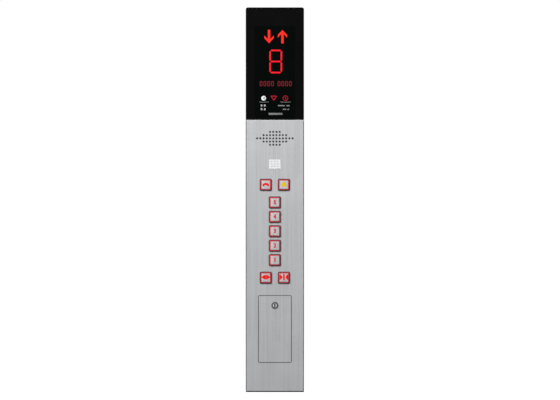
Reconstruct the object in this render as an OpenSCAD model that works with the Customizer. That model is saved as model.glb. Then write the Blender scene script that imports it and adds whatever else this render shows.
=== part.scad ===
// Elevator car operating panel, surface mounted, with push buttons that travel and a
// lockable switch compartment. Right is +X, up is +Z and the room is towards -Y.
// The wall is the plane Y = 0, behind the middle of the panel.

/* [Panel] */
// Overall width
panel_w = 190; // [165:1:240]
// Overall height
panel_h = 1255; // [1240:1:1600]
// Depth from the wall to the front face
panel_d = 55; // [54:1:80]
// Thickness of the stainless faceplate
plate_t = 1.5; // [1:0.1:2]
// Outside radius of the faceplate's folds
bend_r = 2.6; // [2:0.1:4]
// Height of the stiffening rails behind the faceplate
rail_d = 4.5; // [3.5:0.5:8]

/* [Back box] */
// Thickness of the box's sheet steel
box_t = 1.5; // [1:0.1:2]
// Width of the lip that the front seats on
lip_w = 12; // [9:0.5:15]
// Radius of the four holes for the wall screws
wall_hole_r = 3.25; // [2.5:0.25:4]
// Distance from the panel's side to a wall hole
wall_hole_in = 23; // [20:1:25]
// Distance from the panel's end to a wall hole
wall_hole_up = 52; // [40:1:60]
// Radius of the cable bushing's bore
cable_r = 13; // [8:0.5:15]
// Height of the cable bushing above the panel's bottom edge
cable_up = 42; // [36:1:50]

/* [Display window] */
// Height of the dark window
window_h = 365; // [340:1:420]
// Thickness of the window
window_t = 3; // [2:0.5:3.5]
// Radius of the window's top corners
window_r = 7; // [5:0.5:10]
// Height of the bright strip under the window
trim_h = 3.8; // [2:0.2:6]
// Width of the housing behind the window
display_w = 134; // [120:1:140]
// Height of the housing behind the window
display_h = 316; // [300:1:330]
// Depth of the housing behind the window
display_d = 15; // [12:1:20]
// Height of the floor digit
digit_h = 80; // [60:1:95]
// Width of the floor digit
digit_w = 44.4; // [35:0.2:60]
// Width of one bar of the digit
bar_w = 7.8; // [5:0.2:10]

/* [Speaker] */
// Distance between neighbouring speaker holes
hole_pitch = 10.5; // [8:0.5:12]
// Radius of a speaker hole
hole_r = 2.5; // [1:0.1:3]
// Distance from the window down to the middle of the speaker
speaker_drop = 62.3; // [60:0.5:80]
// Radius of the speaker's flange
speaker_r = 33; // [28:1:35]
// Depth of the speaker behind its flange
speaker_d = 24; // [20:1:28]

/* [Emergency lamp] */
// Width of the lens
lamp_w = 39; // [30:1:50]
// Height of the lens
lamp_h = 30.5; // [24:0.5:40]
// Distance from the speaker down to the middle of the lens
lamp_drop = 84.3; // [78:0.5:110]

/* [Buttons] */
// Outer width of a button's bezel
bezel_w = 39.6; // [38.6:0.1:44]
// How far a bezel stands out of the faceplate
bezel_out = 2.6; // [2:0.2:4]
// Width of the dark rim round the light ring
bezel_rim = 2.1; // [1.2:0.1:2.2]
// Width of a button's cap
cap_w = 27.4; // [22.8:0.2:30]
// How far a cap stands out of its bezel
cap_out = 0.9; // [0.4:0.1:2]
// Travel of a button
press = 1.8; // [1:0.1:2.5]
// Distance from the lens down to the upper pair of buttons
call_drop = 67.2; // [60:0.5:90]
// Distance between neighbouring floor buttons
floor_pitch = 47; // [45:0.5:60]
// Distance between a paired row and the floor buttons
row_gap = 57.5; // [48:0.5:70]
// Distance from the middle of the panel to a paired button
pair_x = 29.5; // [25:0.5:36]

/* [Switch compartment] */
// Distance from the lower pair of buttons down to the door's opening
door_drop = 57.2; // [50:0.5:90]
// Width of the compartment's door
door_w = 106; // [88:1:128]
// Height of the compartment's door
door_h = 217; // [180:1:262]
// Gap round the door
door_gap = 1.5; // [1.4:0.1:2.5]
// Depth from the front face to the switch plate
recess_d = 28.5; // [27:0.5:34]
// Distance from the top of the door to its lock
lock_drop = 31.5; // [30:0.5:40]
// Radius of the lock's face
lock_r = 11.2; // [9:0.2:13]
// Width of a rocker switch
rocker_w = 15; // [12:0.5:20]
// Height of a rocker switch
rocker_h = 32; // [26:1:38]

/* [Hidden] */
$fn = 48;

// Clearances
fit = 0.2;
box_gap = 0.3;
cap_gap = 0.3;
run_gap = 0.05;

// Depths behind the front face
seat_d = plate_t + rail_d;
floor_d = panel_d - box_t;

// Screws that go in from above and below, through the folded edge into the box
screw_r = 1.5;
screw_head_r = 2.9;
screw_l = 8;
screw_x = 62;
nut_r = 3.1;
nut_h = 2.4;
screw_in = seat_d + box_t + nut_r + 0.5;
return_d = screw_in + screw_head_r + 2;

// Outline of the box
box_w = panel_w - 2 * (plate_t + box_gap);
box_h = panel_h - 2 * (plate_t + box_gap);
box_r = window_r - plate_t - box_gap;

// Heights
top_z = panel_h / 2;
window_z = top_z - window_h;
plate_top = window_z - trim_h;
speaker_z = window_z - speaker_drop;
lamp_z = speaker_z - lamp_drop;
call_z = lamp_z - call_drop;
floor_z = call_z - row_gap;
floors = 5;
door_row_z = floor_z - (floors - 1) * floor_pitch - row_gap;
cut_top = door_row_z - door_drop;
cut_w = door_w + 2 * door_gap;
cut_h = door_h + 2 * door_gap;
cut_z = cut_top - cut_h / 2;
door_bottom = cut_top - cut_h + door_gap;
door_top = door_bottom + door_h;
cable_z = cable_up - top_z;

// Places of the buttons, as [x, z]
floor_spots = [for (n = [floors : -1 : 1]) [0, floor_z - (floors - n) * floor_pitch]];
intercom_spot = [-pair_x, call_z];
alarm_spot = [pair_x, call_z];
open_spot = [-pair_x, door_row_z];
close_spot = [pair_x, door_row_z];
function_spots = [intercom_spot, alarm_spot, open_spot, close_spot];
spots = concat(floor_spots, function_spots);

// A button's pieces
bezel_r = 5;
bezel_wall = 1.8;
bezel_bore = cap_w + 2 * cap_gap;
body_w = bezel_bore + 2 * bezel_wall;
body_r = 3;
button_cut = body_w + 2 * fit;
ring_w = bezel_w - 2 * bezel_rim;
ring_floor = 1;
cap_r = 2.4;
cap_skirt = 2;
cap_face = 1.6;
bed_d = 0.5;
bed_rim = 1.4;
cap_front = -bezel_out - cap_out;
skirt_end = 8.5;
hook_w = 6;
hook_from = 5.5;
hook_to = 7.5;
hook_out = 1.3;
board_d = 12;
board_t = 1.6;
board_step = 0.8;
body_end = 16;
cover_t = 1.6;
clamp_w = body_w + 9.6;
wire_r = 0.4;

// The flag behind a cap, and the forked sensor that it dips into
flag_w = 4;
flag_t = 1;
flag_end = 6.5;
fork_w = 5;
fork_h = 11;
fork_front = 4;
fork_slot = 3;
fork_x = cap_w / 2 - cap_skirt - fork_w / 2 - 0.7;
spring_r = fork_x - fork_w / 2 - wire_r - 0.5;

// The door's pivot lies behind its bottom edge, high enough for the edge to swing in behind the faceplate
tray_t = 1.2;
tray_flange = 8;
ledge = 4;
side_room = 1;
pivot_r = 1.5;
pivot_head_r = 2.8;
pivot_in = plate_t + tray_t + pivot_head_r + 0.3;
pivot_up = pivot_in * plate_t / door_gap + 2.7;
pivot_z = door_bottom + pivot_up;
edge_dip = norm([pivot_in, pivot_up]) - pivot_up;
tray_w = cut_w + 2 * side_room;
tray_top = cut_top - ledge;
tray_bottom = door_bottom - edge_dip - 1.5;
ear_t = 1.5;
ear_x = door_w / 2 - 1;

// The lock
lock_z = door_top - lock_drop;
barrel_r = 9;
plug_r = 6.8;
barrel_d = 14;
cam_from = barrel_d + 0.2;
cam_t = 2;
cam_reach = 24.5;
keeper_t = 1.5;
keeper_h = 10;
keeper_gap = 0.8;

// The switches in the compartment
switch_t = 1.5;
switch_w = door_w - 14;
switch_h = 136;
switch_edge = 8;
switch_z = cut_z - 12;
rocker_x = 22;
rocker_z = switch_z + 30;
rocker_tilt = 9;
rocker_rim = 2;
rocker_out = 2.2;
key_z = switch_z - 32;
key_r = 11;

// The display's modules
art_x = 2.9;
display_z = top_z - 24 - display_h / 2;
display_back = window_t + display_d;
digit_z = top_z - 176.6;
arrow_z = top_z - 95.4;
arrow_x = 21.9;
load_z = top_z - 248.9;
status_z = top_z - 296.2;

steel = [0.74, 0.75, 0.76];
bright = [0.8, 0.81, 0.82];
satin = [0.55, 0.56, 0.57];
zinc = [0.62, 0.64, 0.65];
black = [0.06, 0.06, 0.065];
dark = [0.16, 0.16, 0.17];
red = [0.9, 0.1, 0.1];
white = [0.94, 0.94, 0.93];
green = [0.08, 0.32, 0.18];

// Extrudes a front view between two depths behind the front face
module slab(from, to) {
    translate([0, to - panel_d, 0]) rotate([90, 0, 0]) linear_extrude(to - from) children();
}

// Turns a profile of [radius, depth] points about an axis that runs front to back
module turned(x, z) {
    translate([x, -panel_d, z]) rotate([-90, 0, 0]) rotate_extrude() children();
}

// Extrudes a side view, drawn as [depth, height], across the panel between two places in X
module across(from, to) {
    translate([from, -panel_d, 0]) rotate([90, 0, 90]) linear_extrude(to - from) children();
}

// Extrudes a top view, drawn as [x, depth], up the panel between two heights
module upward(from, to) {
    translate([0, -panel_d, from]) linear_extrude(to - from) children();
}

// A block in the middle of the panel whose front and back edges are rounded as folded sheet is
module folded(half_w, half_h, from, to, r_corner, r_front, r_back) {
    intersection() {
        slab(from, to) plate_outline(half_w, -half_h, half_h, r_corner, r_corner);
        upward(-half_h, half_h) plate_outline(half_w, from, to, r_front, r_back);
        across(-half_w, half_w) mirror([1, -1]) plate_outline(half_h, from, to, r_front, r_back);
    }
}

module round_rect(w, h, r) {
    square([w - 2 * r, h], center = true);
    square([w, h - 2 * r], center = true);
    for (x = [-1, 1], z = [-1, 1]) translate([x * (w / 2 - r), z * (h / 2 - r)]) circle(r);
}

// A rectangle given by its sides, with round corners at the top and at the bottom
module plate_outline(half_w, bottom, top, r_bottom, r_top) {
    difference() {
        translate([-half_w, bottom]) square([2 * half_w, top - bottom]);
        for (s = [-1, 1]) {
            if (r_top > 0) corner_bite(s * half_w, top, -s, -1, r_top);
            if (r_bottom > 0) corner_bite(s * half_w, bottom, -s, 1, r_bottom);
        }
    }
}

// What a round corner takes off a square one, where sx and sz point into the plate
module corner_bite(x, z, sx, sz, r) {
    difference() {
        translate([x - (sx > 0 ? 1 : r), z - (sz > 0 ? 1 : r)]) square(r + 1);
        translate([x + sx * r, z + sz * r]) circle(r);
    }
}

// Puts children at each place in a list of [x, z]
module at_each(places) {
    for (p = places) translate([p[0], p[1]]) children();
}

module back_box() {
    half_w = box_w / 2;
    half_h = box_h / 2;
    back_r = box_t + 1;
    color(zinc) difference() {
        folded(half_w, half_h, seat_d, panel_d, box_r, 0, back_r);
        folded(half_w - box_t, half_h - box_t, seat_d + box_t, floor_d, box_r - box_t, 0, back_r - box_t);
        slab(seat_d - 1, seat_d + box_t + 1) round_rect(box_w - 2 * lip_w, box_h - 2 * lip_w, box_r);
        slab(floor_d - 1, panel_d + 1) {
            at_each([for (x = [-1, 1], z = [-1, 1]) wall_spot(x, z)]) circle(wall_hole_r);
            translate([0, cable_z]) circle(cable_r + bushing_wall);
        }
        for (s = [-1, 1], x = [-1, 1]) screw_hole(x, s, plate_t + box_gap, box_t);
    }
}

function wall_spot(x, z) = [x * (panel_w / 2 - wall_hole_in), z * (panel_h / 2 - wall_hole_up)];

bushing_wall = 3;
bushing_lip = 3;
bushing_in = 2.5;

module cable_bushing() {
    outer = cable_r + bushing_wall;
    color(dark) turned(0, cable_z) difference() {
        union() {
            translate([0, floor_d]) square([outer - run_gap, box_t]);
            translate([0, floor_d - bushing_in]) square([outer + bushing_lip, bushing_in]);
        }
        translate([0, floor_d - bushing_in - 1]) square([cable_r, bushing_in + box_t + 2]);
    }
}

// Puts children on a screw's axis at the top (s = 1) or bottom (s = -1) edge, pointing into the panel
module at_screw(x, s, from) {
    translate([x * screw_x, screw_in - panel_d, s * (top_z - from)])
        rotate([s > 0 ? 180 : 0, 0, 0]) children();
}

module screw_hole(x, s, from, length) {
    at_screw(x, s, from - 1) cylinder(r = screw_r + fit, h = length + 2);
}

// Room for a countersunk head in the edge of the front
module screw_sink(x, s, extra = 0) {
    at_screw(x, s, 0) cylinder(r1 = screw_head_r + extra, r2 = screw_r + extra, h = screw_head_r - screw_r);
}

module front_screws() {
    color(steel) for (s = [-1, 1], x = [-1, 1]) {
        screw_sink(x, s);
        at_screw(x, s, 0) cylinder(r = screw_r, h = screw_l);
    }
}

module weld_nuts() {
    color(zinc) for (s = [-1, 1], x = [-1, 1]) at_screw(x, s, plate_t + box_gap + box_t) difference() {
        cylinder(r = nut_r, h = nut_h, $fn = 6);
        translate([0, 0, -1]) cylinder(r = screw_r + run_gap, h = nut_h + 2);
    }
}

speaker_rows = [4, 8, 12, 8, 4];

function speaker_holes() = [
    for (i = [0 : 4], k = [0 : speaker_rows[i] - 1])
        [(k - (speaker_rows[i] - 1) / 2) * hole_pitch, speaker_z + (2 - i) * hole_pitch]
];

module faceplate() {
    half = panel_w / 2;
    color(steel) difference() {
        intersection() {
            folded(half, top_z, 0, return_d, bend_r, bend_r, 0);
            slab(0, return_d) translate([-half, -top_z]) square([panel_w, plate_top + top_z]);
        }
        folded(half - plate_t, top_z - plate_t, plate_t, return_d + 1, bend_r - plate_t, bend_r - plate_t, 0);
        slab(-1, plate_t + 1) {
            at_each(spots) round_rect(button_cut, button_cut, body_r + fit);
            at_each(speaker_holes()) circle(hole_r);
            translate([0, lamp_z]) round_rect(lens_w + 2 * fit, lens_h + 2 * fit, 1);
            translate([0, cut_z]) round_rect(cut_w, cut_h, door_r + door_gap);
        }
        for (x = [-1, 1]) {
            screw_sink(x, -1, run_gap);
            screw_hole(x, -1, 0, plate_t);
        }
    }
}

// Two channels behind the faceplate's long edges, which seat on the box's lip
rail_w = 9;
rail_t = 1;
rail_end = 16;

module stiffening_rails() {
    rail_x = box_w / 2 - lip_w / 2;
    color(zinc) for (s = [-1, 1]) translate([s * rail_x, 0, 0]) difference() {
        slab(plate_t, seat_d) rail_outline(rail_w);
        slab(plate_t + rail_t, seat_d + 1) rail_outline(rail_w - 2 * rail_t);
    }
}

module rail_outline(w) {
    bottom = rail_end - top_z;
    translate([-w / 2, bottom]) square([w, plate_top - rail_end - bottom]);
}

// The frame that the window is bonded to
frame_ledge = 10;

module window_frame() {
    half = panel_w / 2;
    color(dark) difference() {
        slab(window_t, return_d) plate_outline(half, window_z, top_z, 0, window_r);
        // the box's front end passes here
        slab(seat_d, return_d + 1)
            plate_outline(half - plate_t, window_z - 1, top_z - plate_t, 0, window_r - plate_t);
        slab(window_t - 1, seat_d + 1)
            plate_outline(half - frame_ledge, window_z + frame_ledge, top_z - frame_ledge, 3, 3);
        for (x = [-1, 1]) {
            screw_sink(x, 1, run_gap);
            screw_hole(x, 1, 0, plate_t);
        }
    }
}

// The dark window has a polished edge all round its front
module display_window() {
    edge = 0.6;
    half = panel_w / 2;
    color(black) hull() {
        slab(edge, window_t)
            plate_outline(half, window_z, top_z, 0, window_r, $fn = 32);
        slab(0, window_t)
            plate_outline(half - edge, window_z + edge, top_z - edge, 0, window_r - edge, $fn = 32);
    }
}

trim_out = 0.3;
tongue_h = 9;

// A bright strip with folded ends, and a tongue that the faceplate laps over
module trim_strip() {
    half = panel_w / 2;
    color([0.9, 0.9, 0.9]) {
        upward(plate_top, window_z) difference() {
            plate_outline(half, -trim_out, return_d, bend_r, 0);
            plate_outline(half - plate_t, seat_d, return_d + 1, 0, 0);
        }
        slab(plate_t, seat_d) translate([-half + 2 * plate_t, plate_top - tongue_h])
            square([2 * half - 4 * plate_t, tongue_h]);
    }
}

wall = 2;

module display_housing() {
    color(black) slab(window_t, display_back) translate([0, display_z]) difference() {
        round_rect(display_w, display_h, 3);
        round_rect(display_w - 2 * wall, display_h - 2 * wall, 1);
    }
}

module display_board() {
    color(green) {
        slab(display_back, display_back + board_t)
            translate([0, display_z]) round_rect(display_w, display_h, 3);
        // driver chips and the plug for the lead to the control board
        slab(display_back + board_t, display_back + board_t + 2.2)
            for (z = [60, 20, -20]) translate([-24, display_z + z]) square([8, 18], center = true);
        slab(display_back + board_t, display_back + board_t + 8)
            translate([0, display_z - display_h / 2 + 30]) square([28, 9], center = true);
    }
}

// A light module stands on the board and holds bars or lamps of clear red plastic
light_front = window_t + 0.4;
light_depth = 4;

module light_module(x, z, w, h) {
    difference() {
        slab(light_front + 0.6, display_back) translate([x, z]) round_rect(w, h, 2);
        slab(light_front, light_front + light_depth + 0.6) children();
    }
}

module light_pipes() {
    slab(light_front, light_front + light_depth + 0.6) children();
}

// One bar of the digit, with mitred ends
module bar(length) {
    half = length / 2;
    c = bar_w / 2;
    polygon([[-half, 0], [-half + c, c], [half - c, c], [half, 0], [half - c, -c], [-half + c, -c]]);
}

bar_gap = 0.9;

module digit_outline(grow = 0) {
    half_w = (digit_w - bar_w) / 2;
    half_h = (digit_h - bar_w) / 2;
    long = half_h - 2 * bar_gap;
    wide = 2 * half_w - 2 * bar_gap;
    translate([art_x, digit_z]) {
        for (z = [-half_h, 0, half_h]) translate([0, z]) bar(wide + 2 * grow);
        for (x = [-half_w, half_w], z = [-half_h / 2, half_h / 2])
            translate([x, z]) rotate(90) bar(long + 2 * grow);
    }
}

module digit_module() {
    color(dark) light_module(art_x, digit_z, digit_w + 16, digit_h + 14) digit_outline();
}

module digit_bars() {
    color(red) light_pipes() digit_outline(-0.1);
}

arrow_w = 33;
arrow_h = 47;
arrow_shaft = 10.5;

// An upward arrow with swept barbs
module arrow() {
    half = arrow_w / 2;
    barb = 13;
    tip = arrow_h / 2;
    s = arrow_shaft / 2;
    polygon([
        [0, tip], [half, tip - half - 1], [half, tip - half - 1 - barb], [s, tip - s - barb],
        [s, -tip], [-s, -tip], [-s, tip - s - barb], [-half, tip - half - 1 - barb], [-half, tip - half - 1]
    ]);
}

module arrows() {
    translate([art_x + arrow_x, arrow_z]) arrow();
    translate([art_x - arrow_x, arrow_z]) rotate(180) arrow();
}

module arrow_module() {
    color(dark) light_module(art_x, arrow_z, 2 * arrow_x + arrow_w + 12, arrow_h + 12) arrows();
}

module arrow_lights() {
    color(red) light_pipes() arrows();
}

load_w = 110;
load_h = 17;
load_cells = 8;
load_gap = 9;
cell_gap = 3.6;

// Two groups of upright cells that light up as the load grows
module load_row() {
    pitch = (load_w - load_gap) / load_cells;
    for (i = [0 : load_cells - 1])
        translate([art_x - load_w / 2 + (i + 0.5) * pitch + (i < load_cells / 2 ? 0 : load_gap), load_z])
            square([pitch - cell_gap, load_h], center = true);
}

module load_module() {
    color(dark) light_module(art_x, load_z, load_w + 10, load_h + 10) load_row();
}

module load_bars() {
    color(red) light_pipes() load_row();
}

status_r = 9.3;
status_xs = [-36.6, -3.4, 34.6];

module status_row() {
    for (x = status_xs) translate([x, status_z]) circle(status_r);
}

module status_module() {
    color(dark) light_module(0, status_z, 106, 2 * status_r + 8) status_row();
}

module status_lights() {
    color(white) light_pipes() status_row();
}

screen_t = 0.6;
gasket_t = 2;
cone_t = 0.5;
flange_t = 1.2;
flange_w = 5;
flange_d = plate_t + screen_t + gasket_t + cone_t;
rim_r = speaker_r - flange_w;
magnet_h = 9;
basket_back = flange_d + speaker_d - magnet_h;
magnet_r = 0.64 * speaker_r;
coil_r = 7.6;
coil_room = 0.8;
coil_dip = 3;

module dust_screen() {
    color(dark) slab(plate_t, plate_t + screen_t)
        translate([0, speaker_z]) round_rect(11 * hole_pitch + 10, 4 * hole_pitch + 10, 3);
}

module speaker_gasket() {
    front = plate_t + screen_t;
    color(black) slab(front, front + gasket_t) translate([0, speaker_z]) difference() {
        circle(speaker_r);
        circle(rim_r);
    }
}

// The pressed steel basket, with four windows between its arms
module speaker_frame() {
    neck = magnet_r - 3;
    floor_front = basket_back - flange_t;
    flange_back = flange_d + flange_t;
    color(zinc) difference() {
        turned(0, speaker_z) polygon([
            [rim_r, flange_d], [speaker_r, flange_d],
            [speaker_r, flange_back], [rim_r + flange_t, flange_back],
            [neck + flange_t, floor_front], [neck + flange_t, basket_back],
            [coil_r + coil_room, basket_back], [coil_r + coil_room, floor_front],
            [neck, floor_front], [rim_r, flange_back]
        ]);
        translate([0, 0, speaker_z]) for (a = [45, 135]) rotate([0, a, 0])
            slab(flange_back + 2, floor_front - 2) square([2 * speaker_r, 13], center = true);
    }
}

// The paper cone with its rolled edge, its dome and the former that carries its coil
module speaker_cone() {
    roll_r = 1.8;
    roll_x = rim_r - 2.5;
    paper_x = roll_x - roll_r + cone_t / 2;
    paper_t = 0.7;
    paper_back = flange_d + 8.4;
    former_t = 0.6;
    dome_r = 10;
    dome_y = paper_back - paper_t + sqrt(dome_r * dome_r - coil_r * coil_r);
    color(dark) turned(0, speaker_z) {
        // edge clamped between the gasket and the basket
        translate([roll_x + roll_r, flange_d - cone_t]) square([speaker_r - roll_x - roll_r, cone_t]);
        translate([roll_x, flange_d - cone_t / 2]) intersection() {
            difference() {
                circle(roll_r + cone_t / 2);
                circle(roll_r - cone_t / 2);
            }
            translate([-roll_r - 1, -roll_r - 1]) square([2 * roll_r + 2, roll_r + 1 + cone_t / 4]);
        }
        polygon([
            [paper_x, flange_d - cone_t], [paper_x, flange_d], [coil_r, paper_back],
            [coil_r - former_t, paper_back], [coil_r - former_t, paper_back - paper_t]
        ]);
        translate([coil_r - former_t, paper_back - paper_t])
            square([former_t, basket_back + coil_dip - paper_back + paper_t]);
        intersection() {
            translate([0, dome_y]) difference() {
                circle(dome_r);
                circle(dome_r - former_t);
            }
            translate([0, dome_y - dome_r - 1]) square([coil_r, dome_r + 1 - dome_y + paper_back]);
        }
    }
}

// The magnet has a ring-shaped gap that the coil moves in
module speaker_magnet() {
    back = basket_back + magnet_h;
    color(zinc) turned(0, speaker_z) difference() {
        polygon([
            [0, basket_back], [magnet_r, basket_back], [magnet_r, back - 1], [magnet_r - 1, back], [0, back]
        ]);
        translate([coil_r - 1.4, basket_back - 1]) square([1.4 + coil_room, coil_dip + 2.5]);
    }
}

// Clips on welded studs hold the flange above and below
module speaker_clips() {
    clip_t = 1.5;
    clip_w = 16;
    foot = 3;
    reach = 11;
    stud_z = speaker_r + (reach - clip_t) / 2;
    clip_d = flange_d + flange_t;
    color(zinc) translate([0, 0, speaker_z]) for (a = [0, 180]) rotate([0, a, 0]) {
        across(-clip_w / 2, clip_w / 2) {
            translate([clip_d, speaker_r - foot]) square([clip_t, foot + reach]);
            translate([plate_t, speaker_r + reach - clip_t]) square([clip_d - plate_t, clip_t]);
        }
        slab(plate_t, clip_d + clip_t + nut_h + 1) translate([0, stud_z]) circle(screw_r);
        slab(clip_d + clip_t, clip_d + clip_t + nut_h) translate([0, stud_z]) circle(nut_r, $fn = 6);
    }
}

mic_r = 4.85;
mic_d = 6;

// The microphone sits behind a hole of the grille's middle row
module microphone() {
    color(zinc) slab(plate_t + screen_t, plate_t + screen_t + mic_d)
        translate([-4.5 * hole_pitch, speaker_z]) circle(mic_r);
}

lamp_flange = 1.2;
lamp_out = 0.8;
lamp_d = 13;
lamp_cells = 4;
lens_w = lamp_w - 2 * lamp_flange;
lens_h = lamp_h - 2 * lamp_flange;

module lamp_lens() {
    groove = 0.7;
    color(white) difference() {
        union() {
            slab(-lamp_out, 0) translate([0, lamp_z]) round_rect(lamp_w, lamp_h, 1.2);
            slab(0, plate_t + 1.5) translate([0, lamp_z]) round_rect(lens_w, lens_h, 0.8);
        }
        slab(-lamp_out - 1, -lamp_out + 0.45) translate([0, lamp_z]) for (i = [1 : lamp_cells - 1]) {
            translate([(i / lamp_cells - 0.5) * lamp_w, 0]) square([groove, lamp_h - 2], center = true);
            translate([0, (i / lamp_cells - 0.5) * lamp_h]) square([lamp_w - 2, groove], center = true);
        }
    }
}

module lamp_housing() {
    color(white) difference() {
        slab(plate_t, lamp_d + 1.5) translate([0, lamp_z]) round_rect(lamp_w + 8, lamp_h + 8, 3);
        slab(plate_t - 1, lamp_d) translate([0, lamp_z])
            round_rect(lens_w + 2 * fit, lens_h + 2 * fit, 0.8);
    }
}

module lamp_board() {
    color(green) {
        slab(lamp_d - board_t, lamp_d) translate([0, lamp_z]) square([lens_w, lens_h], center = true);
        slab(lamp_d - board_t - 1.2, lamp_d - board_t) translate([0, lamp_z])
            for (x = [-1, 1], z = [-1, 1])
                translate([x * lens_w / 4, z * lens_h / 4]) square(3.5, center = true);
    }
}

// A chamfered square plate, as the front of a bezel or a cap
module soft_square(from, to, w, r, chamfer) {
    hull() {
        slab(from + chamfer, to) round_rect(w, w, r, $fn = 32);
        slab(from, to) round_rect(w - 2 * chamfer, w - 2 * chamfer, r - chamfer, $fn = 32);
    }
}

module bezel(p) {
    step_w = bezel_bore + 2 * board_step;
    translate([p[0], 0, p[1]]) difference() {
        union() {
            soft_square(-bezel_out, 0, bezel_w, bezel_r, 0.6);
            slab(0, body_end) round_rect(body_w, body_w, body_r);
        }
        slab(-bezel_out - 1, -ring_floor) round_rect(ring_w, ring_w, bezel_r - bezel_rim);
        slab(-bezel_out, body_end) round_rect(bezel_bore, bezel_bore, cap_r);
        slab(board_d, body_end + 1) round_rect(step_w, step_w, cap_r);
        // windows that the cap's hooks travel in
        slab(hook_from - fit, hook_to + press + 2 * fit)
            square([body_w + 2, hook_w + 4 * fit], center = true);
    }
}

module floor_bezels() {
    color(dark) for (p = floor_spots) bezel(p);
}

module function_bezels() {
    color(dark) for (p = function_spots) bezel(p);
}

module light_rings() {
    color(red) slab(-bezel_out + 0.3, -ring_floor) at_each(spots) difference() {
        round_rect(ring_w - 0.2, ring_w - 0.2, bezel_r - bezel_rim);
        round_rect(bezel_bore + 0.2, bezel_bore + 0.2, cap_r);
    }
}

// A frame with a spring finger on each side grips the body behind the faceplate
module button_clamps() {
    color(zinc) at_spots() {
        slab(plate_t, plate_t + 1.2) difference() {
            round_rect(clamp_w, clamp_w, 4);
            round_rect(body_w + 0.2, body_w + 0.2, body_r);
        }
        for (s = [-1, 1]) slab(plate_t + 1.2, plate_t + 3.4)
            translate([0, s * (body_w / 2 + 0.9)]) square([12, 1.4], center = true);
    }
}

module at_spots() {
    for (p = spots) translate([p[0], 0, p[1]]) children();
}

spring_turns = 5;
spring_steps = 12;
spring_sides = 6;
spring_from = cap_front + cap_face;
spring_l = board_d - spring_from;

// A coil of round wire between the cap and the board
module coil_spring() {
    rings = spring_turns * spring_steps;
    lead = spring_l - 2 * wire_r;
    points = [
        for (i = [0 : rings], k = [0 : spring_sides - 1])
            let (a = 360 * i / spring_steps, b = 360 * k / spring_sides, r = spring_r + wire_r * cos(b))
                [r * cos(a), r * sin(a), wire_r + lead * i / rings + wire_r * sin(b)]
    ];
    side = [
        for (i = [0 : rings - 1], k = [0 : spring_sides - 1])
            let (n = (k + 1) % spring_sides, a = i * spring_sides, b = a + spring_sides)
                each [[a + k, b + k, b + n], [a + k, b + n, a + n]]
    ];
    ends = [
        [for (k = [0 : spring_sides - 1]) k],
        [for (k = [spring_sides - 1 : -1 : 0]) rings * spring_sides + k]
    ];
    polyhedron(points = points, faces = concat(side, ends));
}

module button_springs() {
    color(steel) at_spots() translate([0, spring_from - panel_d, 0]) rotate([-90, 0, 0]) coil_spring();
}

board_w = bezel_bore + 2 * board_step - 2 * fit;
plug_w = 11;
plug_h = 6;

module button_boards() {
    led = 1.8;
    led_x = cap_w / 2 - cap_skirt - led;
    color(green) at_spots() {
        slab(board_d, board_d + board_t) round_rect(board_w, board_w, cap_r);
        // forked light sensor that the cap's flag dips into
        difference() {
            slab(fork_front, board_d)
                translate([fork_x, 0]) square([fork_w, fork_h], center = true);
            slab(fork_front - 1, board_d - 2)
                translate([fork_x, 0]) square([fork_w + 1, fork_slot], center = true);
        }
        // lamps for the light ring
        slab(board_d - 1, board_d)
            for (x = [-1, 1], z = [-1, 1]) translate([x * led_x, z * led_x]) square(led, center = true);
        // plug on the back
        slab(board_d + board_t, body_end + cover_t + 3) square([plug_w, plug_h], center = true);
    }
}

module button_covers() {
    color(black) at_spots() {
        slab(body_end, body_end + cover_t) difference() {
            round_rect(body_w, body_w, body_r);
            square([plug_w + 1, plug_h + 1], center = true);
        }
        slab(board_d + board_t, body_end) difference() {
            round_rect(board_w, board_w, cap_r);
            round_rect(bezel_bore - 2, bezel_bore - 2, cap_r);
        }
    }
}

// A cap is a hollow slider with two hooks that keep it in its bezel
module button_cap(p) {
    in_w = cap_w - 2 * cap_skirt;
    bed_w = cap_w - 2 * bed_rim;
    color(white) translate([p[0], 0, p[1]]) {
        difference() {
            union() {
                soft_square(cap_front, cap_front + cap_face, cap_w, cap_r, 0.5);
                slab(cap_front + cap_face, skirt_end) round_rect(cap_w, cap_w, cap_r);
            }
            slab(cap_front + cap_face, skirt_end + 1) round_rect(in_w, in_w, 1);
            // bed for the thin face plate that carries the symbol
            slab(cap_front - 1, cap_front + bed_d) round_rect(bed_w, bed_w, cap_r - 0.6);
        }
        for (s = [-1, 1]) slab(hook_from, hook_to)
            translate([s * (cap_w + hook_out) / 2, 0]) square([hook_out, hook_w], center = true);
        // spring guide and flag
        slab(cap_front + cap_face, cap_front + cap_face + 3) circle(spring_r - wire_r - 0.3);
        slab(cap_front + cap_face, flag_end) translate([fork_x, 0]) square([flag_w, flag_t], center = true);
    }
}

door_r = 3;

module service_tray() {
    mid = (tray_top + tray_bottom) / 2;
    tray_h = tray_top - tray_bottom;
    out_w = tray_w + 2 * tray_t;
    out_h = tray_h + 2 * tray_t;
    back = recess_d + switch_t + tray_t;
    color(zinc) difference() {
        union() {
            slab(plate_t, plate_t + tray_t) translate([0, mid])
                square([out_w + 2 * tray_flange, out_h + 2 * tray_flange], center = true);
            slab(plate_t, back) translate([0, mid]) square([out_w, out_h], center = true);
        }
        slab(plate_t - 1, back - tray_t) translate([0, mid]) square([tray_w, tray_h], center = true);
        slab(back - tray_t - 1, back + 1) translate([0, switch_z])
            square([switch_w - 2 * switch_edge, switch_h - 2 * switch_edge], center = true);
        pivot_axis() cylinder(r = pivot_r + run_gap / 2, h = out_w, center = true);
    }
}

module pivot_axis() {
    translate([0, pivot_in - panel_d, pivot_z]) rotate([0, 90, 0]) children();
}

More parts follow.
